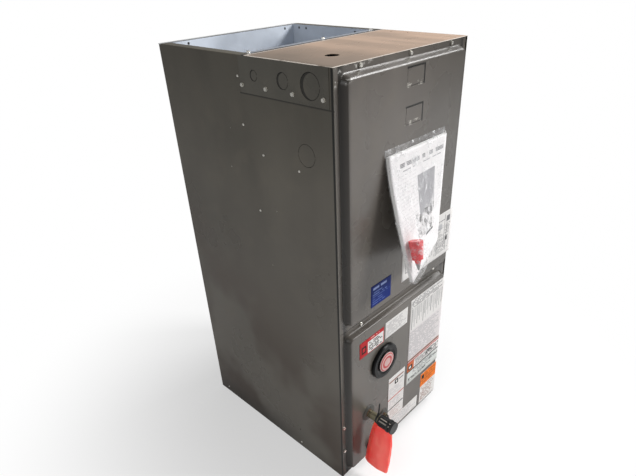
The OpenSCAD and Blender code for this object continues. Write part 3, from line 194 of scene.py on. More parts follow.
def enamel(name, base, bright, gloss, dust):
    """Enamel on sheet. Its tone drifts from base to bright with a slow noise, is darkened along
    upright streaks, lightened in smudges and by dust, and dotted with a few bare chips."""
    paint = Finish(name, Specular_IOR_Level=0.38)
    drift = paint.rise(paint.noise(2.1, 2, 0.5), 0.32, 0.7)
    streaks = paint.rise(paint.noise(8, 3, 0.5, paint.stretched(1, 1, 0.14)), 0.42, 0.78)
    smudge = paint.rise(paint.noise(5.5, 2, 0.45, paint.stretched(1, 1, 0.6)), 0.42, 0.7)
    grime = paint.rise(paint.noise(20, 2, 0.45), 0.45, 0.8)
    tone = paint.mix(drift, base, bright)
    tone = paint.mix(streaks * 0.4, tone, [c * 0.62 for c in base])
    tone = paint.mix(smudge * 0.34, tone, [c * 1.35 for c in bright])
    tone = paint.mix(grime * dust, tone, (0.17, 0.145, 0.11))
    chips = (paint.cells(34) < 0.05) * (paint.noise(5, 2) > 0.6)
    paint.tone = paint.mix(chips, tone, bare_metal)
    paint.right, paint.ahead, paint.up = paint.split(paint.place)
    paint.set(Roughness=paint.range(drift * 0.35 + smudge * 0.3 + grime * 0.35, *gloss),
              Normal=paint.bump(paint.noise(420, 2) * 0.012 + paint.noise(4.5, 1), 0.0022, 0.55))
    return paint


# the side panels are stained brown low down; painted light makes them lighter low at the front,
# and painted shade darker under the top and along the foot. A painted shadow runs down each
# front corner, in the gap by the door, and another under the cover's side flanges
seam_front, seam_back, flange_foot, flange_end = -0.2752, -0.2697, 1.0065, -0.012
casing = enamel("casing_paint", (0.062, 0.055, 0.043), (0.098, 0.089, 0.071), (0.26, 0.46), 0.16)
# painted light: lighter low at the front
lit_low_front = casing.rise(casing.up + casing.ahead * 0.9, 1.0, 0.1)
tone = casing.mix(lit_low_front * 0.65, casing.tone, (0.15, 0.137, 0.118))
browned = (casing.rise(casing.noise(3.4, 3, 0.5), 0.42, 0.56)
           * casing.rise(casing.up - casing.ahead * 0.6, 0.7, 0.15))
tone = casing.mix(browned * 0.9, tone, (0.052, 0.036, 0.026))
# painted shade: darker under the top
shade_under_top = casing.rise(casing.up, 0.8, 1.06)
tone = casing.mix(shade_under_top * 0.45, tone, (0.04, 0.036, 0.028))
# painted shade: darker along the foot, most towards the back
foot_shade = casing.rise(casing.up, 0.09, 0.0) * casing.rise(casing.ahead, -0.2, 0.0)
tone = casing.mix(foot_shade * 0.6, tone, (0.024, 0.021, 0.017))
# painted shadow: a black band down each front corner, where the gap by the door is in shade
front_seam_shadow = (casing.ahead > seam_front) * (casing.ahead < seam_back)
tone = casing.mix(front_seam_shadow * 0.97, tone, seam_shadow_black)
# painted shadow under the lower edge of the cover's side flanges
flange_shadow = ((casing.up < flange_foot) * (casing.ahead < flange_end)
                * casing.rise(casing.up, flange_foot - 0.0045, flange_foot - 0.001))
casing.set(Base_Color=casing.mix(flange_shadow * 0.9, tone, gap_shade_brown))
casing.coat("left_side_panel", "right_side_panel", "back_panel")

# the doors darken to the foot, and painted shade darkens them to the right and on the bevels
# down both sides of a raised face
face_edge, bevel_foot, rim_edge, rim_end = 0.186, 0.2045, 0.2066, 0.2085
doors = enamel("door_paint", (0.08, 0.071, 0.061), (0.118, 0.104, 0.092), (0.24, 0.42), 0.12)
foot = doors.rise(doors.up, 0.42, 0.02)
tone = doors.mix(foot * 0.5, doors.tone, (0.052, 0.046, 0.038))
# painted shade towards the right of each door
far_side_shade = doors.rise(doors.right, -0.02, 0.19)
tone = doors.mix(far_side_shade * 0.65, tone, (0.05, 0.045, 0.038))
# painted shade on the bevels down both sides of each raised face
off_middle_squared = doors.right * doors.right
bevel_shade = (doors.rise(off_middle_squared, face_edge ** 2, bevel_foot ** 2)
         * doors.rise(off_middle_squared, rim_end ** 2, rim_edge ** 2))
tone = doors.mix(bevel_shade * 0.9, tone, (0.016, 0.014, 0.012))
# the two breaker knock-outs have a band of painted shade along their slits at the top and right
breaker_x, breaker_wide, breaker_high, breaker_rim = 0.010, 0.060, 0.037, 0.002
shade_over, shade_beside = 0.0022, 0.0035
for breaker_z in (1.0315, 0.9545):
    across, over = doors.right - breaker_x, doors.up - breaker_z
    near = ((across * across < (breaker_wide / 2 + breaker_rim) ** 2)
            * (over * over < (breaker_high / 2 + breaker_rim) ** 2))
    # painted shade in a band along the top and right slits
    slit_shade = (over > breaker_high / 2 - shade_over) + (across > breaker_wide / 2 - shade_beside)
    tone = doors.mix(near * (slit_shade > 0.5) * 0.92, tone, (0.01, 0.009, 0.008))
    scuffs = doors.rise(doors.noise(75, 4, 0.65), 0.5, 0.57) * (over < -breaker_high * 0.28)
    tone = doors.mix(near * (slit_shade < 0.5) * scuffs * 0.75, tone, bare_metal)
# the upper door's top left corner is rubbed bare
rub = (doors.rise(doors.noise(55, 5, 0.72), 0.52, 0.62)
       * doors.rise(doors.up - doors.right * 0.3, 1.104, 1.115))
doors.set(Base_Color=doors.mix(rub * 0.8, tone, (0.5, 0.49, 0.46)))
doors.coat("upper_door", "lower_door")

# the cover's flat top has a pale tan painted reflection, brighter to the right and broken
# into bands that run front to back, with dark specks
top_face, top_bend, front_bend, side_bend = 1.079, 1.0785, -0.2732, 0.2202
cover = enamel("cover_paint", (0.052, 0.048, 0.04), (0.08, 0.075, 0.062), (0.2, 0.38), 0.16)
warm = cover.rise(cover.right + cover.noise(3.5, 4, 0.6) * 0.3, -0.1, 0.2)
bands = cover.rise(cover.noise(11, 3, 0.55, cover.stretched(1, 0.16, 1)), 0.36, 0.66)
specks = cover.rise(cover.noise(60, 5, 0.7), 0.55, 0.8)
tan = cover.mix(warm, (0.16, 0.125, 0.092), (0.74, 0.52, 0.38))
tan = cover.mix(bands * 0.65, tan, (0.4, 0.295, 0.22))
tan = cover.mix(specks * 0.3, tan, (0.13, 0.1, 0.08))
tone = cover.mix(cover.up > top_face, cover.tone, tan)
on_flange, on_top = cover.up < top_bend, cover.up > top_bend
# each side knock-out has a dark crescent of painted shade at its back edge
for ring_ahead, ring_up, ring_r in ((-0.2185, 1.0415, 0.0245), (-0.1455, 1.0425, 0.0155),
                                    (-0.0615, 1.0435, 0.0105)):
    off_ahead, off_up = cover.ahead - ring_ahead, cover.up - ring_up
    moved = off_ahead + 0.28 * ring_r
    crescent = ((off_ahead * off_ahead + off_up * off_up < ring_r ** 2)
                * (moved * moved + off_up * off_up > (0.97 * ring_r) ** 2))
    tone = cover.mix(crescent * on_flange * 0.9, tone, gap_shade_brown)
# the painted shadow down each front corner runs on over the cover's side flanges
front_seam_shadow = on_flange * (cover.ahead > seam_front) * (cover.ahead < seam_back)
tone = cover.mix(front_seam_shadow * 0.97, tone, seam_shadow_black)
# painted highlights along the top's front and side bends, broken up by noise
bright_bend = (cover.ahead < front_bend) + (cover.right * cover.right > side_bend ** 2)
bend_highlight_breaks = cover.rise(cover.noise(22, 3, 0.6), 0.25, 0.5)
tone = cover.mix((bright_bend > 0.5) * on_top * bend_highlight_breaks * 0.85, tone, (0.86, 0.78, 0.7))
# the opening's galvanised lip laps the cover's back edge; in front of the lip a painted black
# shadow stands for the gap along it, and in front of that a painted highlight for the cover's
# hemmed edge
lip_edge, lip_gap, hem_wide = -0.0275, 0.010, 0.006
gap_edge = lip_edge - lip_gap
on_lip = on_top * (cover.ahead > lip_edge)
gap_shadow = on_top * (cover.ahead < lip_edge) * (cover.ahead > gap_edge)
hem_highlight = on_top * (cover.ahead < gap_edge) * (cover.ahead > gap_edge - hem_wide)
tone = cover.mix(on_lip, tone, (0.62, 0.65, 0.69))
tone = cover.mix(hem_highlight * 0.7, tone, (0.85, 0.76, 0.68))
cover.set(Base_Color=cover.mix(gap_shadow * 0.95, tone, (0.008, 0.007, 0.007)))
cover.coat("top_cover")


# Galvanised sheet
# Everything bare inside: the supply collar, partition, deck, rails, base and
# the blower's housing are hot-dipped sheet with a faint spangle of zinc.
zinc = Finish("galvanised", Metallic=0.6)
grain = zinc.split(zinc.cells(130, out="Color"))[0]
cloud = zinc.rise(zinc.noise(5, 4, 0.55), 0.3, 0.7)
tone = zinc.mix(grain * 0.22 + cloud * 0.6, (0.5, 0.54, 0.61), (0.7, 0.74, 0.82))
white_rust = zinc.rise(zinc.noise(36, 6, 0.7), 0.6, 0.8)
zinc.set(Base_Color=zinc.mix(white_rust * 0.35, tone, (0.8, 0.81, 0.82)),
         Roughness=zinc.range(grain * 0.25 + cloud * 0.5, 0.3, 0.55),
         Normal=zinc.bump(grain * 0.1 + zinc.noise(4, 1) * 2, 0.0008, 0.3))
zinc.coat("base_frame", "centre_rail", "heater_partition", "heater_blank_plate", "blower_deck",
          "blower_rails", "filter_rails", "coil_tube_sheets", "coil_cap", "delta_plates",
          "control_panel", "blower_side_plates", "blower_scroll", "blower_inlet_rings",
          "motor_mount")

# the supply collar's rim is bright along the back with a painted reflection, between two dark
# hems, and enamelled at the sides
rim_low, rim_front, hem_end, hem_back, side_rim_squared = 1.078, 0.2634, 0.2653, 0.2728, 0.0402
collar = Finish("collar_sheet")
right, ahead, up = collar.split(collar.place)
cloud = collar.rise(collar.noise(4, 4, 0.55), 0.3, 0.7)
zinc_and_reflection = collar.mix(cloud, (0.5, 0.54, 0.6), (0.68, 0.73, 0.8))
on_rim, at_back = up > rim_low, ahead > rim_front
# painted reflection: the back of the rim is bright
zinc_and_reflection = collar.mix(on_rim * at_back, zinc_and_reflection, (0.86, 0.88, 0.9))
hems = at_back * (ahead < hem_end) + (ahead > hem_back)
zinc_and_reflection = collar.mix(on_rim * hems * 0.85, zinc_and_reflection, (0.1, 0.095, 0.09))
# the tips of the screws that hold the collar show as dark dots just under its top edge
tip_r, tip_up, back_wall, side_wall = 0.0032, 1.0712, 0.25, 0.19
above_tip = (up - tip_up) * (up - tip_up)
on_back, on_side = ahead > back_wall, right * right > side_wall ** 2
tips = 0
for along, tip, wall in ((right, -0.1486, on_back), (right, 0.1681, on_back),
                         (ahead, 0.2399, on_side), (ahead, 0.2121, on_side),
                         (ahead, 0.035, on_side)):
    tips = tips + (above_tip + (along - tip) * (along - tip) < tip_r ** 2) * wall
zinc_and_reflection = collar.mix(tips, zinc_and_reflection, (0.03, 0.03, 0.032))
side_strip = (right * right > side_rim_squared) * on_rim * (ahead < rim_front)
painted = collar.mix(cloud, (0.085, 0.075, 0.055), (0.15, 0.135, 0.105))
collar.set(Base_Color=collar.mix(side_strip, zinc_and_reflection, painted),
           Metallic=collar.range(side_strip, 0.5, 0.0), Roughness=collar.range(cloud, 0.3, 0.5),
           Normal=collar.bump(collar.noise(5, 2), 0.0012, 0.3))
collar.coat("supply_collar")


# Screws
# Hexagon washer-head screws, bright zinc-plated, with a little white dulling
# in their corners; they hold the panels, the cover and the doors.
plating = Finish("zinc_screws", Metallic=0.9)
dull = plating.rise(plating.noise(160, 4), 0.4, 0.7)
plating.set(Base_Color=plating.mix(dull, (0.8, 0.78, 0.72), (0.62, 0.6, 0.56)),
            Roughness=plating.range(dull, 0.22, 0.5))
plating.coat("casing_screws", "opening_screws", "upper_door_screws", "lower_door_screws",
             "wheel_hub", "motor_shaft")


# Blanket insulation
# Black-faced glass wool lies against the walls and inside both doors. It is
# cut with a knife and held by weld pins with round washers.
def shell(name, points, faces, body, uv=None):
    """A piece from an array of points in metres and an array of four-sided faces. Doubled points
    are merged, and all faces turned outwards."""
    mesh = bpy.data.meshes.new(name)
    mesh.from_pydata(points.reshape(-1, 3).tolist(), [], faces.tolist())
    if uv is not None:
        corners = np.empty(len(mesh.loops), np.int32)
        mesh.loops.foreach_get("vertex_index", corners)
        mesh.uv_layers.new(name="cut").data.foreach_set("uv", uv.reshape(-1, 2)[corners].ravel())
    mesh.polygons.foreach_set("use_smooth", np.full(len(mesh.polygons), True))
    work = bmesh.new()
    work.from_mesh(mesh)
    bmesh.ops.remove_doubles(work, verts=work.verts, dist=1e-6)
    bmesh.ops.dissolve_degenerate(work, edges=work.edges, dist=1e-7)
    bmesh.ops.recalc_face_normals(work, faces=work.faces)
    work.to_mesh(mesh)
    work.free()
    piece = bpy.data.objects.new(name, mesh)
    bpy.context.scene.collection.objects.link(piece)
    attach(piece, body)
    return piece


def net(rows, cols, across=False):
    """Faces of a grid of rows by cols points, each row closed on itself where across is set."""
    index = np.arange(rows * cols).reshape(rows, cols)
    if across:
        index = np.concatenate([index, index[:, :1]], 1)
    corners = [index[:-1, :-1], index[:-1, 1:], index[1:, 1:], index[1:, :-1]]
    return np.stack(corners, -1).reshape(-1, 4)


def leaf(name, front, back, body):
    """A closed sheet between two grids of points, joined by a strip of faces round their edges,
    with one UV square over each of its sides."""
    rows, cols = front.shape[:2]
    index = np.arange(rows * cols).reshape(rows, cols)
    edge = np.concatenate([index[0], index[1:, -1], index[-1, -2::-1], index[-2:0:-1, 0]])
    far = rows * cols
    rim = np.stack([edge, np.roll(edge, -1), np.roll(edge, -1) + far, edge + far], -1)
    faces = np.concatenate([net(rows, cols), net(rows, cols) + far, rim])
    down, along = np.meshgrid(np.linspace(1, 0, rows), np.linspace(0, 1, cols), indexing="ij")
    uv = np.stack([along, down], -1).reshape(-1, 2)
    points = np.concatenate([front.reshape(-1, 3), back.reshape(-1, 3)])
    return shell(name, points, faces, body, np.concatenate([uv, uv]))


def lumps(x, y, size, seed):
    """Soft unevenness from -1 to 1: six sine waves in seeded directions, summed."""
    rng = np.random.default_rng(seed)
    waves, total = 6, 0
    for turn, phase, stretch in zip(rng.uniform(0, 2 * pi, waves), rng.uniform(0, 2 * pi, waves),
                                    rng.uniform(0.6, 1.7, waves)):
        total = total + np.sin((x * cos(turn) + y * sin(turn)) * 2 * pi * stretch / size + phase)
    return total / waves


wool = Finish("faced_wool", Roughness=0.9, Specular_IOR_Level=0.15)
fibre = wool.noise(420, 4, 0.7)
facing = wool.mix(wool.rise(fibre, 0.4, 0.7), (0.018, 0.018, 0.019), (0.07, 0.07, 0.068))
wool.set(Base_Color=facing, Normal=wool.bump(fibre + wool.noise(60, 3) * 2, 0.001, 0.8))
pin_across, pin_down, cut_round, pin_round = 0.15, 0.2, 0.004, 0.0003


def blanket(name, low, high, flat, room, body, seed):
    """A wool slab between two corners. flat is its thin axis and room is the way its soft face
    looks. The face moves by lumps, and sinks along its cut edges and round each weld pin by
    exponentials of the distance from the edge and of the squared distance from the pin."""
    wide, tall = [axis for axis in range(3) if axis != flat]
    a, b = np.meshgrid(np.linspace(0, 1, 46), np.linspace(0, 1, 60), indexing="ij")
    x = low[wide] + (high[wide] - low[wide]) * a
    y = low[tall] + (high[tall] - low[tall]) * b
    inset = np.minimum(np.minimum(x - low[wide], high[wide] - x),
                       np.minimum(y - low[tall], high[tall] - y))
    pins = np.minimum(np.abs((x - low[wide]) % pin_across - pin_across / 2) ** 2
                      + np.abs((y - low[tall]) % pin_down - pin_down / 2) ** 2, 0.01)
    depth = (high[flat] - low[flat]) * (0.93 + 0.05 * lumps(x, y, 0.16, seed)
                                        - 0.35 * np.exp(-inset / cut_round)
                                        - 0.4 * np.exp(-pins / pin_round))
    wall, soft = (low[flat], depth) if room > 0 else (high[flat], -depth)
    front, back = np.empty(a.shape + (3,)), np.empty(a.shape + (3,))
    for grid, level in ((front, wall + soft), (back, np.full(a.shape, wall))):
        grid[..., wide], grid[..., tall], grid[..., flat] = x, y, level
    piece = leaf(name, front, back, body)
    wool.coat(piece)
    return piece


# a side wall carries two slabs, one under the blower deck and one above it
wall_thick, deck_gap, partition_gap = 0.012, 0.002, 0.016
wall_low, wall_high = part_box("side_liners")
deck_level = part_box("blower_deck")[0][2]
upper_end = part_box("heater_partition")[1][1] - partition_gap
for side, name in ((-1, "wool_left"), (1, "wool_right")):
    outer = side * wall_high[0]
    inner = outer - side * wall_thick
    near, far = min(outer, inner), max(outer, inner)
    for part, low, high, seed in (
            ("", (near, wall_low[1], wall_low[2]), (far, wall_high[1], deck_level),
             3 + side),
            ("_upper", (near, wall_low[1], deck_level + deck_gap), (far, upper_end, wall_high[2]),
             8 + side)):
        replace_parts(blanket(name + part, low, high, 0, -side, "cabinet", seed), "side_liners")
for name, node, room, body, seed in (
        ("wool_back", "back_liner", -1, "cabinet", 5),
        ("wool_upper_door", "upper_door_liner", 1, "upper_door", 11),
        ("wool_lower_door", "lower_door_liner", 1, "lower_door", 12)):
    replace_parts(blanket(name, *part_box(node), 1, room, body, seed), node)


# Coil
# Aluminium fins on copper tubes, with bare copper bends, lines and feeders,
# a brass valve, and a black moulded pan with two drain ports under it.
fins = Finish("fin_stock", Metallic=0.85)
ripple = fins.noise(300, 2, 0.5, fins.stretched(1, 6, 1))
fins.set(Base_Color=fins.mix(ripple, (0.5, 0.51, 0.53), (0.8, 0.81, 0.82)),
         Roughness=fins.range(ripple, 0.3, 0.55), Normal=fins.bump(ripple, 0.0004, 0.6))
fins.coat("coil_fins")

door_front = -0.294  # copper ahead of it is outside the cabinet, and soiled
copper = Finish("tube_copper", Metallic=0.9)
tarnish = copper.rise(copper.noise(28, 5, 0.65), 0.42, 0.72)
outside = copper.split(copper.place)[1] < door_front
tone = copper.mix(tarnish, (0.62, 0.3, 0.17), (0.3, 0.22, 0.13))
soiled = copper.mix(tarnish, (0.34, 0.3, 0.2), (0.2, 0.19, 0.13))
copper.set(Base_Color=copper.mix(outside, tone, soiled),
           Roughness=copper.range(tarnish, 0.25, 0.6))
copper.coat("return_bends", "suction_line", "liquid_line", "distributor_tubes", "sensing_bulb")

brass = Finish("turned_brass", Metallic=0.9)
turning = brass.noise(500, 2, 0.5, brass.stretched(1, 1, 8))
brass.set(Base_Color=brass.mix(turning, (0.5, 0.36, 0.13), (0.72, 0.55, 0.25)),
          Roughness=brass.range(turning, 0.25, 0.45))
brass.coat("expansion_valve")


def moulding(name, dark, light, gloss):
    """Moulded plastic or rubber: two close tones, a fine pebbled skin and uneven gloss."""
    pebble_depth = 0.0002
    plastic = Finish(name)
    drift = plastic.noise(30, 4, 0.6)
    plastic.set(Base_Color=plastic.mix(drift, dark, light), Roughness=plastic.range(drift, *gloss),
                Normal=plastic.bump(plastic.noise(1400, 2) + drift * 2, pebble_depth, 0.6))
    return plastic


moulding("pan_plastic", (0.012, 0.012, 0.013), (0.03, 0.03, 0.032), (0.4, 0.6)).coat("drain_pan")


# Controls
# A bent plate behind the upper door with a laminated transformer, a lacquered
# board, a relay and a terminal block, wired by a bundle through the deck.
moulding("core_varnish", (0.04, 0.035, 0.035), (0.09, 0.08, 0.075), (0.4, 0.6)).coat("transformer")
board = Finish("board_lacquer", Roughness=0.35)
tracks = board.rise(board.cells(260, board.stretched(1, 1, 0.4), "DISTANCE_TO_EDGE"), 0.02, 0.05)
board.set(Base_Color=board.mix(tracks, (0.03, 0.16, 0.07), (0.012, 0.075, 0.035)))
board.coat("control_board")
moulding("black_moulding", (0.01, 0.01, 0.01), (0.028, 0.028, 0.028), (0.35, 0.55)).coat(
    "blower_relay", "wire_harness", "motor_lead", "cap_ties")
moulding("ivory_moulding", (0.5, 0.46, 0.36), (0.62, 0.58, 0.47), (0.35, 0.5)).coat(
    "terminal_block")


# Blower
# A galvanised wheel of curved blades on a steel shaft, a black enamelled
# motor and a drawn aluminium capacitor can.
wheel = Finish("wheel_zinc", Metallic=0.8)
wipe = wheel.noise(40, 4, 0.6)
wheel.set(Base_Color=wheel.mix(wipe, (0.4, 0.42, 0.44), (0.66, 0.68, 0.7)),
          Roughness=wheel.range(wipe, 0.3, 0.5))
wheel.coat("blower_wheel")
moulding("motor_enamel", (0.012, 0.012, 0.014), (0.03, 0.03, 0.033), (0.25, 0.45)).coat(
    "motor_case")
can = Finish("drawn_can", Metallic=0.85)
draw_lines = can.noise(220, 2, 0.5, can.stretched(1, 1, 0.04))
can.set(Base_Color=can.mix(draw_lines, (0.55, 0.55, 0.55), (0.75, 0.75, 0.74)),
        Roughness=can.range(draw_lines, 0.25, 0.45))
can.coat("capacitor")


# Filter
# A pleated cloth pad glued in a folded card frame, slid in over the return
# opening.
card = Finish("frame_card", Roughness=0.85)
pulp = card.noise(240, 4, 0.65)
card.set(Base_Color=card.mix(pulp, (0.42, 0.32, 0.2), (0.56, 0.45, 0.3)),
         Normal=card.bump(pulp, 0.0003, 0.5))
card.coat("filter_frame")

cloth = Finish("filter_cloth", Roughness=0.95, Specular_IOR_Level=0.2, Sheen_Weight=0.3)
threads = cloth.noise(700, 3, 0.7)
cloth.set(Base_Color=cloth.mix(threads, (0.55, 0.57, 0.6), (0.78, 0.8, 0.82)),
          Normal=cloth.bump(threads, 0.0004, 0.8))
# the pleats are a triangle wave with rounded tips, the arc cosine of a slightly reduced cosine
pad_low, pad_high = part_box("filter_media")
pleats, pleat_steps, cloth_thick = 30, 12, 0.0012
along, side = np.meshgrid(np.linspace(0, 1, pleats * pleat_steps + 1), np.linspace(0, 1, 5),
                          indexing="ij")
fold = np.arccos(0.94 * np.cos(2 * pi * pleats * along)) / pi
pad = np.stack([pad_low[0] + (pad_high[0] - pad_low[0]) * side,
                pad_low[1] + (pad_high[1] - pad_low[1]) * along,
                pad_low[2] + (pad_high[2] - pad_low[2] - cloth_thick) * fold], -1)
pad_piece = leaf("filter_pleats", pad + (0, 0, cloth_thick), pad, "filter")
cloth.coat(pad_piece)
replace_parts(pad_piece, "filter_media")


# Badge
# A plain round boss on the lower door: a glossy black dished ring with a
# pale pink raised centre disc, ringed in red, with no mark on it.
badge_x, badge_z, disc_r = -0.070, 0.336, 0.0283
face = moulding("badge_plastic", (0.004, 0.004, 0.0045), (0.01, 0.01, 0.011), (0.22, 0.4))
face.set(Specular_IOR_Level=0.12)
right, _, up = face.split(face.place)
spread = face.maths("SQRT", (right - badge_x) * (right - badge_x)
                    + (up - badge_z) * (up - badge_z))
inlay = face.mix(face.noise(70, 4, 0.6), (0.4, 0.22, 0.21), (0.62, 0.46, 0.44))
for inner, outer in ((0.0235, 0.0262), (0.0125, 0.0185)):
    inlay = face.mix((spread > inner) * (spread < outer), inlay, (0.42, 0.045, 0.05))
face.set(Base_Color=face.mix(spread < disc_r, (0.006, 0.006, 0.0065), inlay))
face.coat("badge")


# Labels
# Thin printed film stuck flat on the raised faces of both doors. Print is
# left off: each has only its colour bands, ruled lines and plain dashes.
door_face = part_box("upper_door")[0][1] * 1000
dash, dashes_left_out, ragged_part, row_shift = 5.2, 0.22, 0.3, 31.7
film_foot, film_top = 0.04, 0.14


def label(name, body, x0, x1, z0, z1, ground, blocks=(), rules=()):
    """One label, by its edges in millimetres. blocks are x0, x1, z0, z1 and a colour, and rules
    are x0, x1, z0, z1, the pitch of the lines, the part of it that is inked and a colour, all
    measured from the label's lower left corner. White noise by the line's number shortens a line,
    and by the dash's number leaves out about one dash in five. The film is a flat grid that
    stands off by lumps and by an exponential of the distance from its edge."""
    film = Finish(name + "_film", Roughness=0.55, Specular_IOR_Level=0.1)
    right, _, up = film.split(film.place)
    right, up = (right - x0 / 1000) * 1000, (up - z0 / 1000) * 1000

    def inside(a0, a1, b0, b1):
        """Mask of a rectangle on the label, in millimetres."""
        return (right > a0) * (right < a1) * (up > b0) * (up < b1)

    def chance(number):
        """A random number from 0 to 1 that is the same wherever number is."""
        return film.add("ShaderNodeTexWhiteNoise", {"noise_dimensions": "1D"}, {"W": number})

    tone = film.mix(film.noise(30, 4, 0.6), [c * 0.93 for c in ground], ground)
    for a0, a1, b0, b1, colour in blocks:
        tone = film.mix(inside(a0, a1, b0, b1), tone, colour)
    stroke = film.maths("FLOOR", right * (1 / dash))
    for a0, a1, b0, b1, pitch, ink, colour in rules:
        line = film.maths("FLOOR", up * (1 / pitch))
        inked = ((film.maths("FRACT", up * (1 / pitch)) < ink)
                 * (right < chance(line) * (-ragged_part * (a1 - a0)) + a1)
                 * (chance(stroke + line * row_shift) > dashes_left_out))
        tone = film.mix(inside(a0, a1, b0, b1) * inked, tone, colour)
    film.set(Base_Color=tone, Normal=film.bump(film.noise(40, 3), 0.0006, 0.5))
    x, z = np.meshgrid(np.linspace(x0, x1, 25), np.linspace(z1, z0, 25))
    from_edge = np.minimum(np.minimum(x - x0, x1 - x), np.minimum(z - z0, z1 - z))
    lift = 0.12 + 0.05 * lumps(x, z, 60, int(x0) + 500) + 0.25 * np.exp(-from_edge / 3)
    front = np.stack([x, door_face - lift - film_top, z], -1) / 1000
    back = np.stack([x, np.full(x.shape, door_face - film_foot), z], -1) / 1000
    film.coat(leaf(name, front, back, body))


white, grey, pale = (0.66, 0.645, 0.63), (0.15, 0.15, 0.155), (0.4, 0.4, 0.41)
red, black, orange = (0.42, 0.02, 0.025), (0.012, 0.012, 0.012), (0.72, 0.17, 0.012)
brown, rust, light_blue = (0.24, 0.13, 0.1), (0.3, 0.07, 0.01), (0.3, 0.38, 0.66)
label("label_blue", "upper_door", -126, -51, 531, 590, (0.004, 0.018, 0.15),
      blocks=[(8, 30, 46, 52, light_blue), (36, 58, 46, 52, light_blue)],
      rules=[(6, 70, 26, 42, 6.2, 0.38, (0.15, 0.22, 0.5)),
             (6, 60, 6, 22, 6.2, 0.3, (0.1, 0.15, 0.4))])
label("label_diagram", "upper_door", -7, 209, 545, 672, white,
      blocks=[(14, 70, 18, 20, grey), (14, 16, 18, 70, grey), (68, 70, 18, 70, grey),
              (100, 102, 30, 100, grey), (130, 132, 20, 90, grey), (100, 180, 60, 61.5, grey),
              (150, 170, 80, 96, pale), (182, 184, 24, 118, grey), (140, 184, 104, 106, grey),
              (190, 206, 96, 112, grey), (190, 200, 40, 52, black), (150, 176, 30, 32, grey),
              (150, 152, 10, 56, grey), (110, 126, 74, 90, pale), (192, 194, 10, 96, grey),
              (204, 206, 20, 80, pale)],
      rules=[(20, 62, 78, 108, 5, 0.36, grey), (140, 205, 10, 56, 4.4, 0.36, grey),
             (120, 180, 62, 84, 4.6, 0.4, grey), (186, 208, 60, 90, 4.4, 0.42, grey),
             (80, 128, 6, 30, 5, 0.36, grey), (136, 178, 86, 102, 4.4, 0.4, pale)])
label("label_red", "lower_door", -167, -73, 399, 447, red,
      blocks=[(31, 92, 2, 37, white), (7, 25, 10, 32, black), (11, 21, 15, 27, red)],
      rules=[(35, 88, 5, 34, 5.0, 0.55, black), (36, 84, 40, 46, 6, 0.4, (0.62, 0.45, 0.43))])
label("label_small", "lower_door", -67, 28, 402, 453, white,
      rules=[(5, 90, 5, 46, 4.2, 0.45, (0.36, 0.35, 0.35))])
columns = [(x, x + width, 198 + k * 23 % 41, 268, (0.24 + 0.06 * (k % 3),) * 3)
           for k, (x, width) in enumerate(zip(range(8, 154, 6), (3.4, 1.8, 2.6, 1.4, 3.0) * 5))]
label("label_table", "lower_door", 42, 203, 163, 462, white,
      blocks=[(0, 161, 92, 196, (0.6, 0.57, 0.57)), (0, 161, 84, 92, brown), (0, 161, 78, 82, red),
              (0, 34, 48, 78, (0.5, 0.13, 0.05)), (6, 26, 52, 68, black), (10, 20, 56, 64, white),
              (0, 161, 44, 48, black), (0, 161, 0, 44, (0.56, 0.58, 0.56))] + columns,
      rules=[(6, 155, 270, 296, 4.6, 0.5, grey), (4, 157, 96, 192, 4.0, 0.42, (0.34, 0.34, 0.35)),
             (38, 155, 50, 76, 4.4, 0.5, (0.1, 0.1, 0.1)), (30, 150, 22, 42, 5, 0.45, grey),
             (92, 200, 57, 71, 4.6, 0.6, black), (8, 126, 9, 20, 3.8, 0.62, black),
             (110, 190, 25, 33, 3.8, 0.6, black)])
label("label_tall", "lower_door", -45, 30, 79, 246, white,
      blocks=[(4, 71, 148, 153, brown), (2, 73, 43, 47, black), (0, 75, 83, 87, (0.42, 0.1, 0.08)),
              (30, 46, 130, 146, black), (35, 41, 134, 142, white), (0, 1.5, 0, 167, grey),
              (50, 70, 136, 140, grey)],
      rules=[(6, 69, 90, 126, 4.4, 0.4, pale), (6, 69, 50, 80, 4.4, 0.4, pale),
             (6, 69, 6, 40, 4.4, 0.4, (0.42, 0.33, 0.31))])
label("label_low", "lower_door", -36, 105, 34, 78, white,
      rules=[(6, 135, 5, 38, 4.4, 0.45, pale)])
label("label_orange", "lower_door", 119, 203, 30, 150, white,
      blocks=[(0, 84, 68, 120, orange), (0, 84, 89, 92, rust), (6, 20, 96, 112, black)],
      rules=[(24, 78, 94, 116, 5.4, 0.5, rust), (8, 76, 72, 88, 5, 0.4, rust),
             (6, 78, 6, 64, 4.4, 0.45, brown)])


# Booklet
# A letter-size booklet of plain sheets, stapled, hung by its bag's top on the
# upper door; its loose lower left corner stands well off the door.
book_left, book_top, book_back = -85.0, 886.5, door_face - 1.2
book_wide, book_tall, book_thick, book_lift = 216.0, 279.4, 8.0, 76.0


def on_booklet(s, t, off):
    """The point s across and t down the booklet, standing off its back by off. The stand-off of
    the back grows towards the lower left corner, by the part left over across and by the power
    1.25 of the part gone down, and the left edge hangs a little shorter for it."""
    stand = book_lift * (1 - s) * np.maximum(t, 0) ** 1.25
    drop = book_tall * t * (1 - 0.035 * (1 - s) * t)
    return np.stack([book_left + book_wide * s, book_back - stand - off, book_top - drop],
                    -1) / 1000


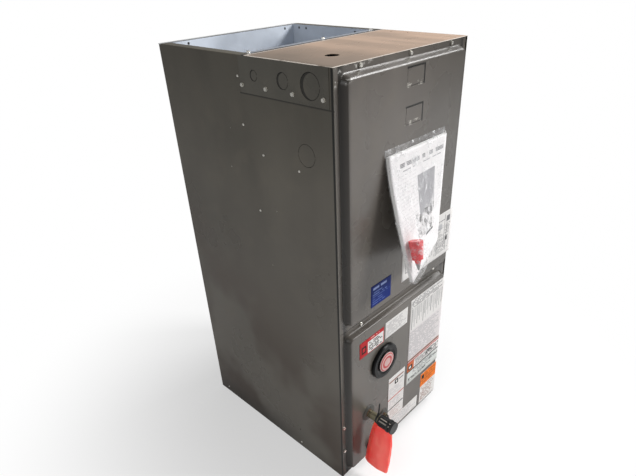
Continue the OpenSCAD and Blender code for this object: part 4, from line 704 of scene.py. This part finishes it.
paper = Finish("booklet_paper", Roughness=0.75, Specular_IOR_Level=0.2)
paper.set(Base_Color=paper.mix(paper.noise(25, 4, 0.6), (0.7, 0.69, 0.68), (0.84, 0.83, 0.82)))
t, s = np.meshgrid(np.linspace(0, 1, 41), np.linspace(0, 1, 31), indexing="ij")
rng = np.random.default_rng(4)
leaves = []
for k, (low_off, high_off) in enumerate([(0.0, 1.5), (1.9, 3.3), (3.7, 4.9), (5.3, 6.5)]):
    slip_s, slip_t = rng.uniform(-0.009, 0.0), rng.uniform(-0.006, 0.0)
    wave = 0.12 * lumps(s, t, 0.9, 20 + k)
    s_k, t_k = s * (1 + slip_s) - slip_s * 0.5, t * (1 + slip_t)
    leaves.append(leaf("booklet_sheet_%d" % (k + 1), on_booklet(s_k, t_k, high_off + wave),
                       on_booklet(s_k, t_k, low_off + wave), "upper_door"))
    paper.coat(leaves[-1])

front_print = Finish("booklet_cover", Roughness=0.5, Specular_IOR_Level=0.35)
front_print.place = front_print.add("ShaderNodeTexCoord", out="UV")
u, v, _ = front_print.split(front_print.place)


def patch(u0, u1, v0, v1):
    """Mask of a rectangle on the cover, in parts of its width and height."""
    return (u > u0) * (u < u1) * (v > v0) * (v < v1)


def dashes(scale_u, scale_v, full):
    """Mask of ragged plain dashes, where a stretched noise is above full."""
    return front_print.noise(1, 1, 0.5, front_print.stretched(scale_u, scale_v, 1)) > full


# three broken lines at the top, one under them, a column of fine lines down each side, and a plain
# dark panel that fades downwards and is crumpled at its foot
title_high, under_high, left_high, right_high, line_step = 0.0075, 0.009, 0.009, 0.006, 0.028
tone = front_print.mix(front_print.noise(4, 4, 0.6), (0.66, 0.64, 0.64), (0.8, 0.78, 0.785))
for line in (0.887, 0.8985, 0.91):
    tone = front_print.mix(patch(0.16, 0.95, line, line + title_high) * dashes(15, 3, 0.4),
                           tone, (0.12, 0.12, 0.13))
tone = front_print.mix(patch(0.2, 0.92, 0.852, 0.852 + under_high) * dashes(22, 3, 0.42),
                       tone, (0.3, 0.3, 0.31))
for k in range(17):
    line = 0.82 - line_step * k
    left_line = patch(0.09, 0.43, line, line + left_high) * dashes(30, 36, 0.44)
    tone = front_print.mix(left_line * 0.45, tone, (0.46, 0.45, 0.46))
    right_line = patch(0.84, 0.94, line, line + right_high)
    tone = front_print.mix(right_line * 0.3, tone, (0.5, 0.5, 0.5))
panel_tone = front_print.mix(front_print.noise(6, 5, 0.65), (0.2, 0.2, 0.21), (0.4, 0.39, 0.41))
fading = front_print.rise(v + (front_print.noise(7, 4, 0.6) - 0.5) * 0.3, 0.36, 0.5)
tone = front_print.mix(patch(0.45, 0.8, 0.3, 0.77) * fading, tone, panel_tone)
crumpled = front_print.rise(front_print.noise(16, 6, 0.75), 0.45, 0.6)
tone = front_print.mix(patch(0.36, 0.8, 0.24, 0.46) * crumpled * 0.95, tone,
                       (0.035, 0.035, 0.032))
tone = front_print.mix(patch(0.56, 0.78, 0.215, 0.235), tone, (0.03, 0.03, 0.03))
front_print.set(Base_Color=tone)
swell = 0.2 * lumps(s, t, 0.8, 31)
front_sheet = leaf("booklet_cover", on_booklet(s, t, 7.6 + swell), on_booklet(s, t, 6.9 + swell),
                   "upper_door")
front_print.coat(front_sheet)
for piece in leaves + [front_sheet]:
    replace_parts(piece, "booklet")


# Clear bag and spare parts
# A crinkled clear bag holds the booklet and a red moulded drain plug with a
# grey tapered tail; its hem above the booklet is taped flat on the door.
plug_s, plug_t, plug_x, plug_z, tail_top, swell_wide = 0.115, 0.745, -0.057, 0.676, 0.658, 0.22
bag_gap, bag_bulge, bag_hem, bag_edge = 0.5, 44.0, 14.0, 3.0
edge_round, hem_fall, crease_high, back_off, front_off = 2.2, 8, 2.2, -0.9, -0.6
t, s = np.meshgrid(np.linspace(-bag_hem / book_tall, 1 + bag_edge / book_tall, 190),
                   np.linspace(-bag_edge / book_wide, 1 + bag_edge / book_wide, 150),
                   indexing="ij")
# creases are the cubed ridges of 26 sine waves, each in its own seeded direction and a little bent
rng = np.random.default_rng(9)
crinkle = np.zeros(s.shape)
for _ in range(26):
    turn, pitch = rng.uniform(0, pi), rng.uniform(5, 34)
    phase, bend = rng.uniform(0, 6), rng.uniform(-3, 3)
    run = (s * cos(turn) + t * sin(turn)) * pitch + bend * s * t + phase
    crinkle += (1 - np.abs(np.sin(run))) ** 3 * rng.uniform(0.25, 1.0)
crinkle /= crinkle.max()
# the film stands over the booklet, swells over the plug as a bell curve, falls to the hem, and
# closes on its back by an exponential of the distance from its edge
to_edge = np.minimum(np.minimum(s - s.min(), s.max() - s) * book_wide,
                     np.minimum(t - t.min(), t.max() - t) * book_tall)
full = 1 - np.exp(-np.maximum(to_edge, 0) / edge_round)
bulge = bag_bulge * np.exp(-((s - plug_s) / swell_wide) ** 2 - ((t - plug_t) / swell_wide) ** 2)
above = np.clip(-t * book_tall / hem_fall, 0, 1)
film_front = (book_thick + bag_gap + bulge) * (1 - 0.8 * above) + crease_high * crinkle
film_front = front_off + (film_front - front_off) * full + 0.3
film_back = np.full(s.shape, back_off)
bag_film = Finish("bag_film", Roughness=0.14, Specular_IOR_Level=0.7)
# the film is whiter and less clear along creases, broad folds and the hem and round the plug:
# painted highlights on its crinkles
crease = bag_film.rise(bag_film.noise(70, 5, 0.7, bag_film.stretched(1, 0.4, 0.7)), 0.54, 0.66)
broad_fold = bag_film.rise(bag_film.noise(24, 5, 0.7), 0.52, 0.7)
right, _, up = bag_film.split(bag_film.place)
from_plug = (right - plug_x) * (right - plug_x) + (up - plug_z) * (up - plug_z) * 0.5
hem = bag_film.rise(up, 0.88, 0.889)
plug_highlights = (bag_film.rise(from_plug, 0.045 ** 2, 0.012 ** 2)
           * bag_film.rise(bag_film.noise(95, 4, 0.7), 0.5, 0.6))
crinkle_highlights = crease * (0.6 + hem * 0.6) + broad_fold * 0.4 + plug_highlights * 0.55
bag_film.set(Base_Color=bag_film.mix(bag_film.noise(40, 3), (0.62, 0.63, 0.64),
                                     (0.96, 0.96, 0.97)),
             Alpha=bag_film.range(crinkle_highlights, 0.07, 0.72),
             Normal=bag_film.bump(bag_film.noise(60, 5, 0.72), 0.002, 0.8))
bag = leaf("clear_bag", on_booklet(s, t, film_front), on_booklet(s, t, film_back), "upper_door")
bag_film.coat(bag)
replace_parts(bag, "literature_bag")

plug = moulding("plug_red", (0.55, 0.012, 0.02), (0.75, 0.05, 0.06), (0.15, 0.3))
red_body = plug.mix(plug.noise(30, 4), (0.55, 0.012, 0.02), (0.78, 0.06, 0.07))
grey_tail = plug.mix(plug.noise(60, 3), (0.07, 0.07, 0.072), (0.3, 0.3, 0.3))
plug.set(Base_Color=plug.mix(plug.split(plug.place)[2] < tail_top, red_body, grey_tail))
plug.coat("spare_plug")


# Shipping cap, ties and pouch
# A ribbed black rubber cap closes the copper stub, two ties hold it, and a
# soft red vinyl pouch hangs under it, gathered at its top.
cap_x, cap_z, stripe_front, stripe_back = -0.131, 0.192, -0.366, -0.334
rubber = moulding("cap_rubber", (0.006, 0.006, 0.006), (0.02, 0.02, 0.02), (0.35, 0.6))
right, ahead, up = rubber.split(rubber.place)
turn = rubber.maths("ARCTAN2", right - cap_x, up - cap_z)
# two pale stripes along the cap's ribs are painted highlights
highlight_turns = (turn > -0.45) * (turn < -0.25) + (turn > -1.0) * (turn < -0.78)
rib_highlights = highlight_turns * (ahead > stripe_front) * (ahead < stripe_back)
rubber.set(Base_Color=rubber.mix(rib_highlights, (0.012, 0.012, 0.012), (0.42, 0.38, 0.33)))
rubber.coat("stub_cap")
moulding("grommet_rubber", (0.03, 0.028, 0.024), (0.06, 0.057, 0.048), (0.45, 0.7)).coat(
    "pipe_grommets")

# the pouch is an oval carried down a leaning line; it widens and thickens by quarter sines, is
# folded by two cosines round it, and its top slopes down to the back
pouch_x, pouch_y, pouch_top = -131.0, -340.5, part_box("transit_pouch")[1][2] * 1000
pouch_long, pouch_slope, pouch_lean = 138.0, 9.0, 23.0
neck_wide, neck_thick, belly_wide, belly_thick, foot_wide = 28, 2.5, 7, 10.5, 3
down, round_ = np.meshgrid(np.linspace(0, 1, 90), np.linspace(0, 2 * pi, 120, endpoint=False),
                           indexing="ij")
half_wide = (neck_wide + belly_wide * np.sin(pi / 2 * np.minimum(1, down * 1.6))
             + foot_wide * down)
half_thick = (neck_thick + belly_thick * np.sin(pi / 2 * np.minimum(1, down * 1.5))
              * (1 - 0.35 * down ** 2))
folds = 1 + (0.06 * (1 - 0.5 * down) * np.cos(7 * round_)
             + 0.035 * np.exp(-down / 0.16) * np.cos(19 * round_ + 1)
             + 0.03 * lumps(np.cos(round_) * 30, down * 130, 42, 3))
folds = np.minimum(folds, 1.06)
sway = 1.4 * lumps(down * 100, down * 0 + 1, 60, 8) * down
slope = pouch_slope * (1 - down)
pouch = np.stack([pouch_x - pouch_lean * down + half_thick * folds * np.sin(round_) + sway,
                  pouch_y + 3 * down ** 2 + half_wide * folds * np.cos(round_),
                  pouch_top - slope * (0.5 - 0.5 * np.cos(round_))
                  - (pouch_long - slope) * down], -1) / 1000
top_middle, low_middle = (np.broadcast_to(ring.mean(1, keepdims=True), ring.shape)
                          for ring in (pouch[:1], pouch[-1:]))
pouch = np.concatenate([top_middle, pouch, low_middle])
vinyl = Finish("red_vinyl", Subsurface_Weight=0.7, Subsurface_Radius=(1, 0.25, 0.15),
               Subsurface_Scale=0.03)
# lighter, rougher patches on the vinyl are painted highlights
pouch_highlights = vinyl.rise(vinyl.noise(45, 5, 0.65), 0.45, 0.8)
fold_tone = vinyl.rise(vinyl.noise(12, 3, 0.6, vinyl.stretched(1, 1, 0.3)), 0.35, 0.65)
tone = vinyl.mix(fold_tone, (0.93, 0.055, 0.045), (1.0, 0.17, 0.13))
vinyl.set(Base_Color=vinyl.mix(pouch_highlights * 0.5, tone, (1.0, 0.3, 0.23)),
          Roughness=vinyl.range(pouch_highlights, 0.3, 0.5),
          Normal=vinyl.bump(vinyl.noise(55, 4, 0.6, vinyl.stretched(1, 1, 0.5)), 0.0015, 0.7))
pouch_piece = shell("vinyl_pouch", pouch, net(len(pouch), pouch.shape[1], across=True),
                    "stub_cap")
vinyl.coat(pouch_piece)
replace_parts(pouch_piece, "transit_pouch")


# Floor and light
# A pale floor that runs out to a white surround. A broad lamp to the right of
# the doors throws the booklet's shadow, and two weaker ones fill the left and top.
world = bpy.data.worlds.new("studio")
bpy.context.scene.world = world
surround = Shading(world)
sky = surround.tree.nodes["Background"]
surround.feed(sky.inputs["Color"], (1, 1, 1))
surround.feed(sky.inputs["Strength"], 0.24)
white_sky = surround.add("ShaderNodeBackground", None, {"Color": (1, 1, 1)})
seen = surround.maths("MAXIMUM", surround.add("ShaderNodeLightPath", out="Is Camera Ray"),
                      surround.add("ShaderNodeLightPath", out="Is Transmission Ray"))
surround.feed(surround.tree.nodes["World Output"].inputs["Surface"],
              surround.add("ShaderNodeMixShader", None,
                           {0: seen, 1: Signal(surround, sky.outputs[0]), 2: white_sky}))

floor_reach = 30
corners = [(x * floor_reach, y * floor_reach, 0) for x, y in ((-1, -1), (1, -1), (1, 1), (-1, 1))]
floor_mesh = bpy.data.meshes.new("floor")
floor_mesh.from_pydata(corners, [], [(0, 1, 2, 3)])
floor = bpy.data.objects.new("floor", floor_mesh)
bpy.context.scene.collection.objects.link(floor)
# the floor turns to plain white further out, for the camera alone
ground = Finish("pale_floor", Base_Color=(0.97, 0.97, 0.97), Roughness=0.9,
                Specular_IOR_Level=0.1)
right, ahead, _ = ground.split(ground.place)
apart = ground.maths("SQRT", right * right + ahead * ahead)
fade = (ground.add("ShaderNodeLightPath", out="Is Camera Ray")
        * ground.range(ground.rise(apart, 0.3, 1.1), 0.45, 1))
matt = Signal(ground, ground.shader.outputs[0])
ground.feed(ground.tree.nodes["Material Output"].inputs["Surface"],
            ground.add("ShaderNodeMixShader", None,
                       {0: fade, 1: matt, 2: ground.add("ShaderNodeEmission")}))
ground.coat(floor)

for name, place, aim, size, watts in [("key", (2.96, -3.21, 3.04), (0, 0, 0.6), 1.2, 205),
                                      ("fill", (-3.0, -0.5, 2.2), (0, 0, 0.5), 2.2, 30),
                                      ("top", (2.2, -0.5, 2.9), (0, 0, 1.0), 1.0, 42)]:
    lamp = bpy.data.lights.new(name, "AREA")
    lamp.size = size
    lamp.energy = watts
    lamp_object = bpy.data.objects.new(name, lamp)
    lamp_object.location = place
    towards = np.array(aim) - np.array(place)
    level = np.hypot(towards[0], towards[1])
    lamp_object.rotation_euler = (np.arctan2(level, -towards[2]), 0,
                                  np.arctan2(-towards[0], towards[1]))
    bpy.context.scene.collection.objects.link(lamp_object)

bpy.context.scene.view_settings.view_transform = "Standard"
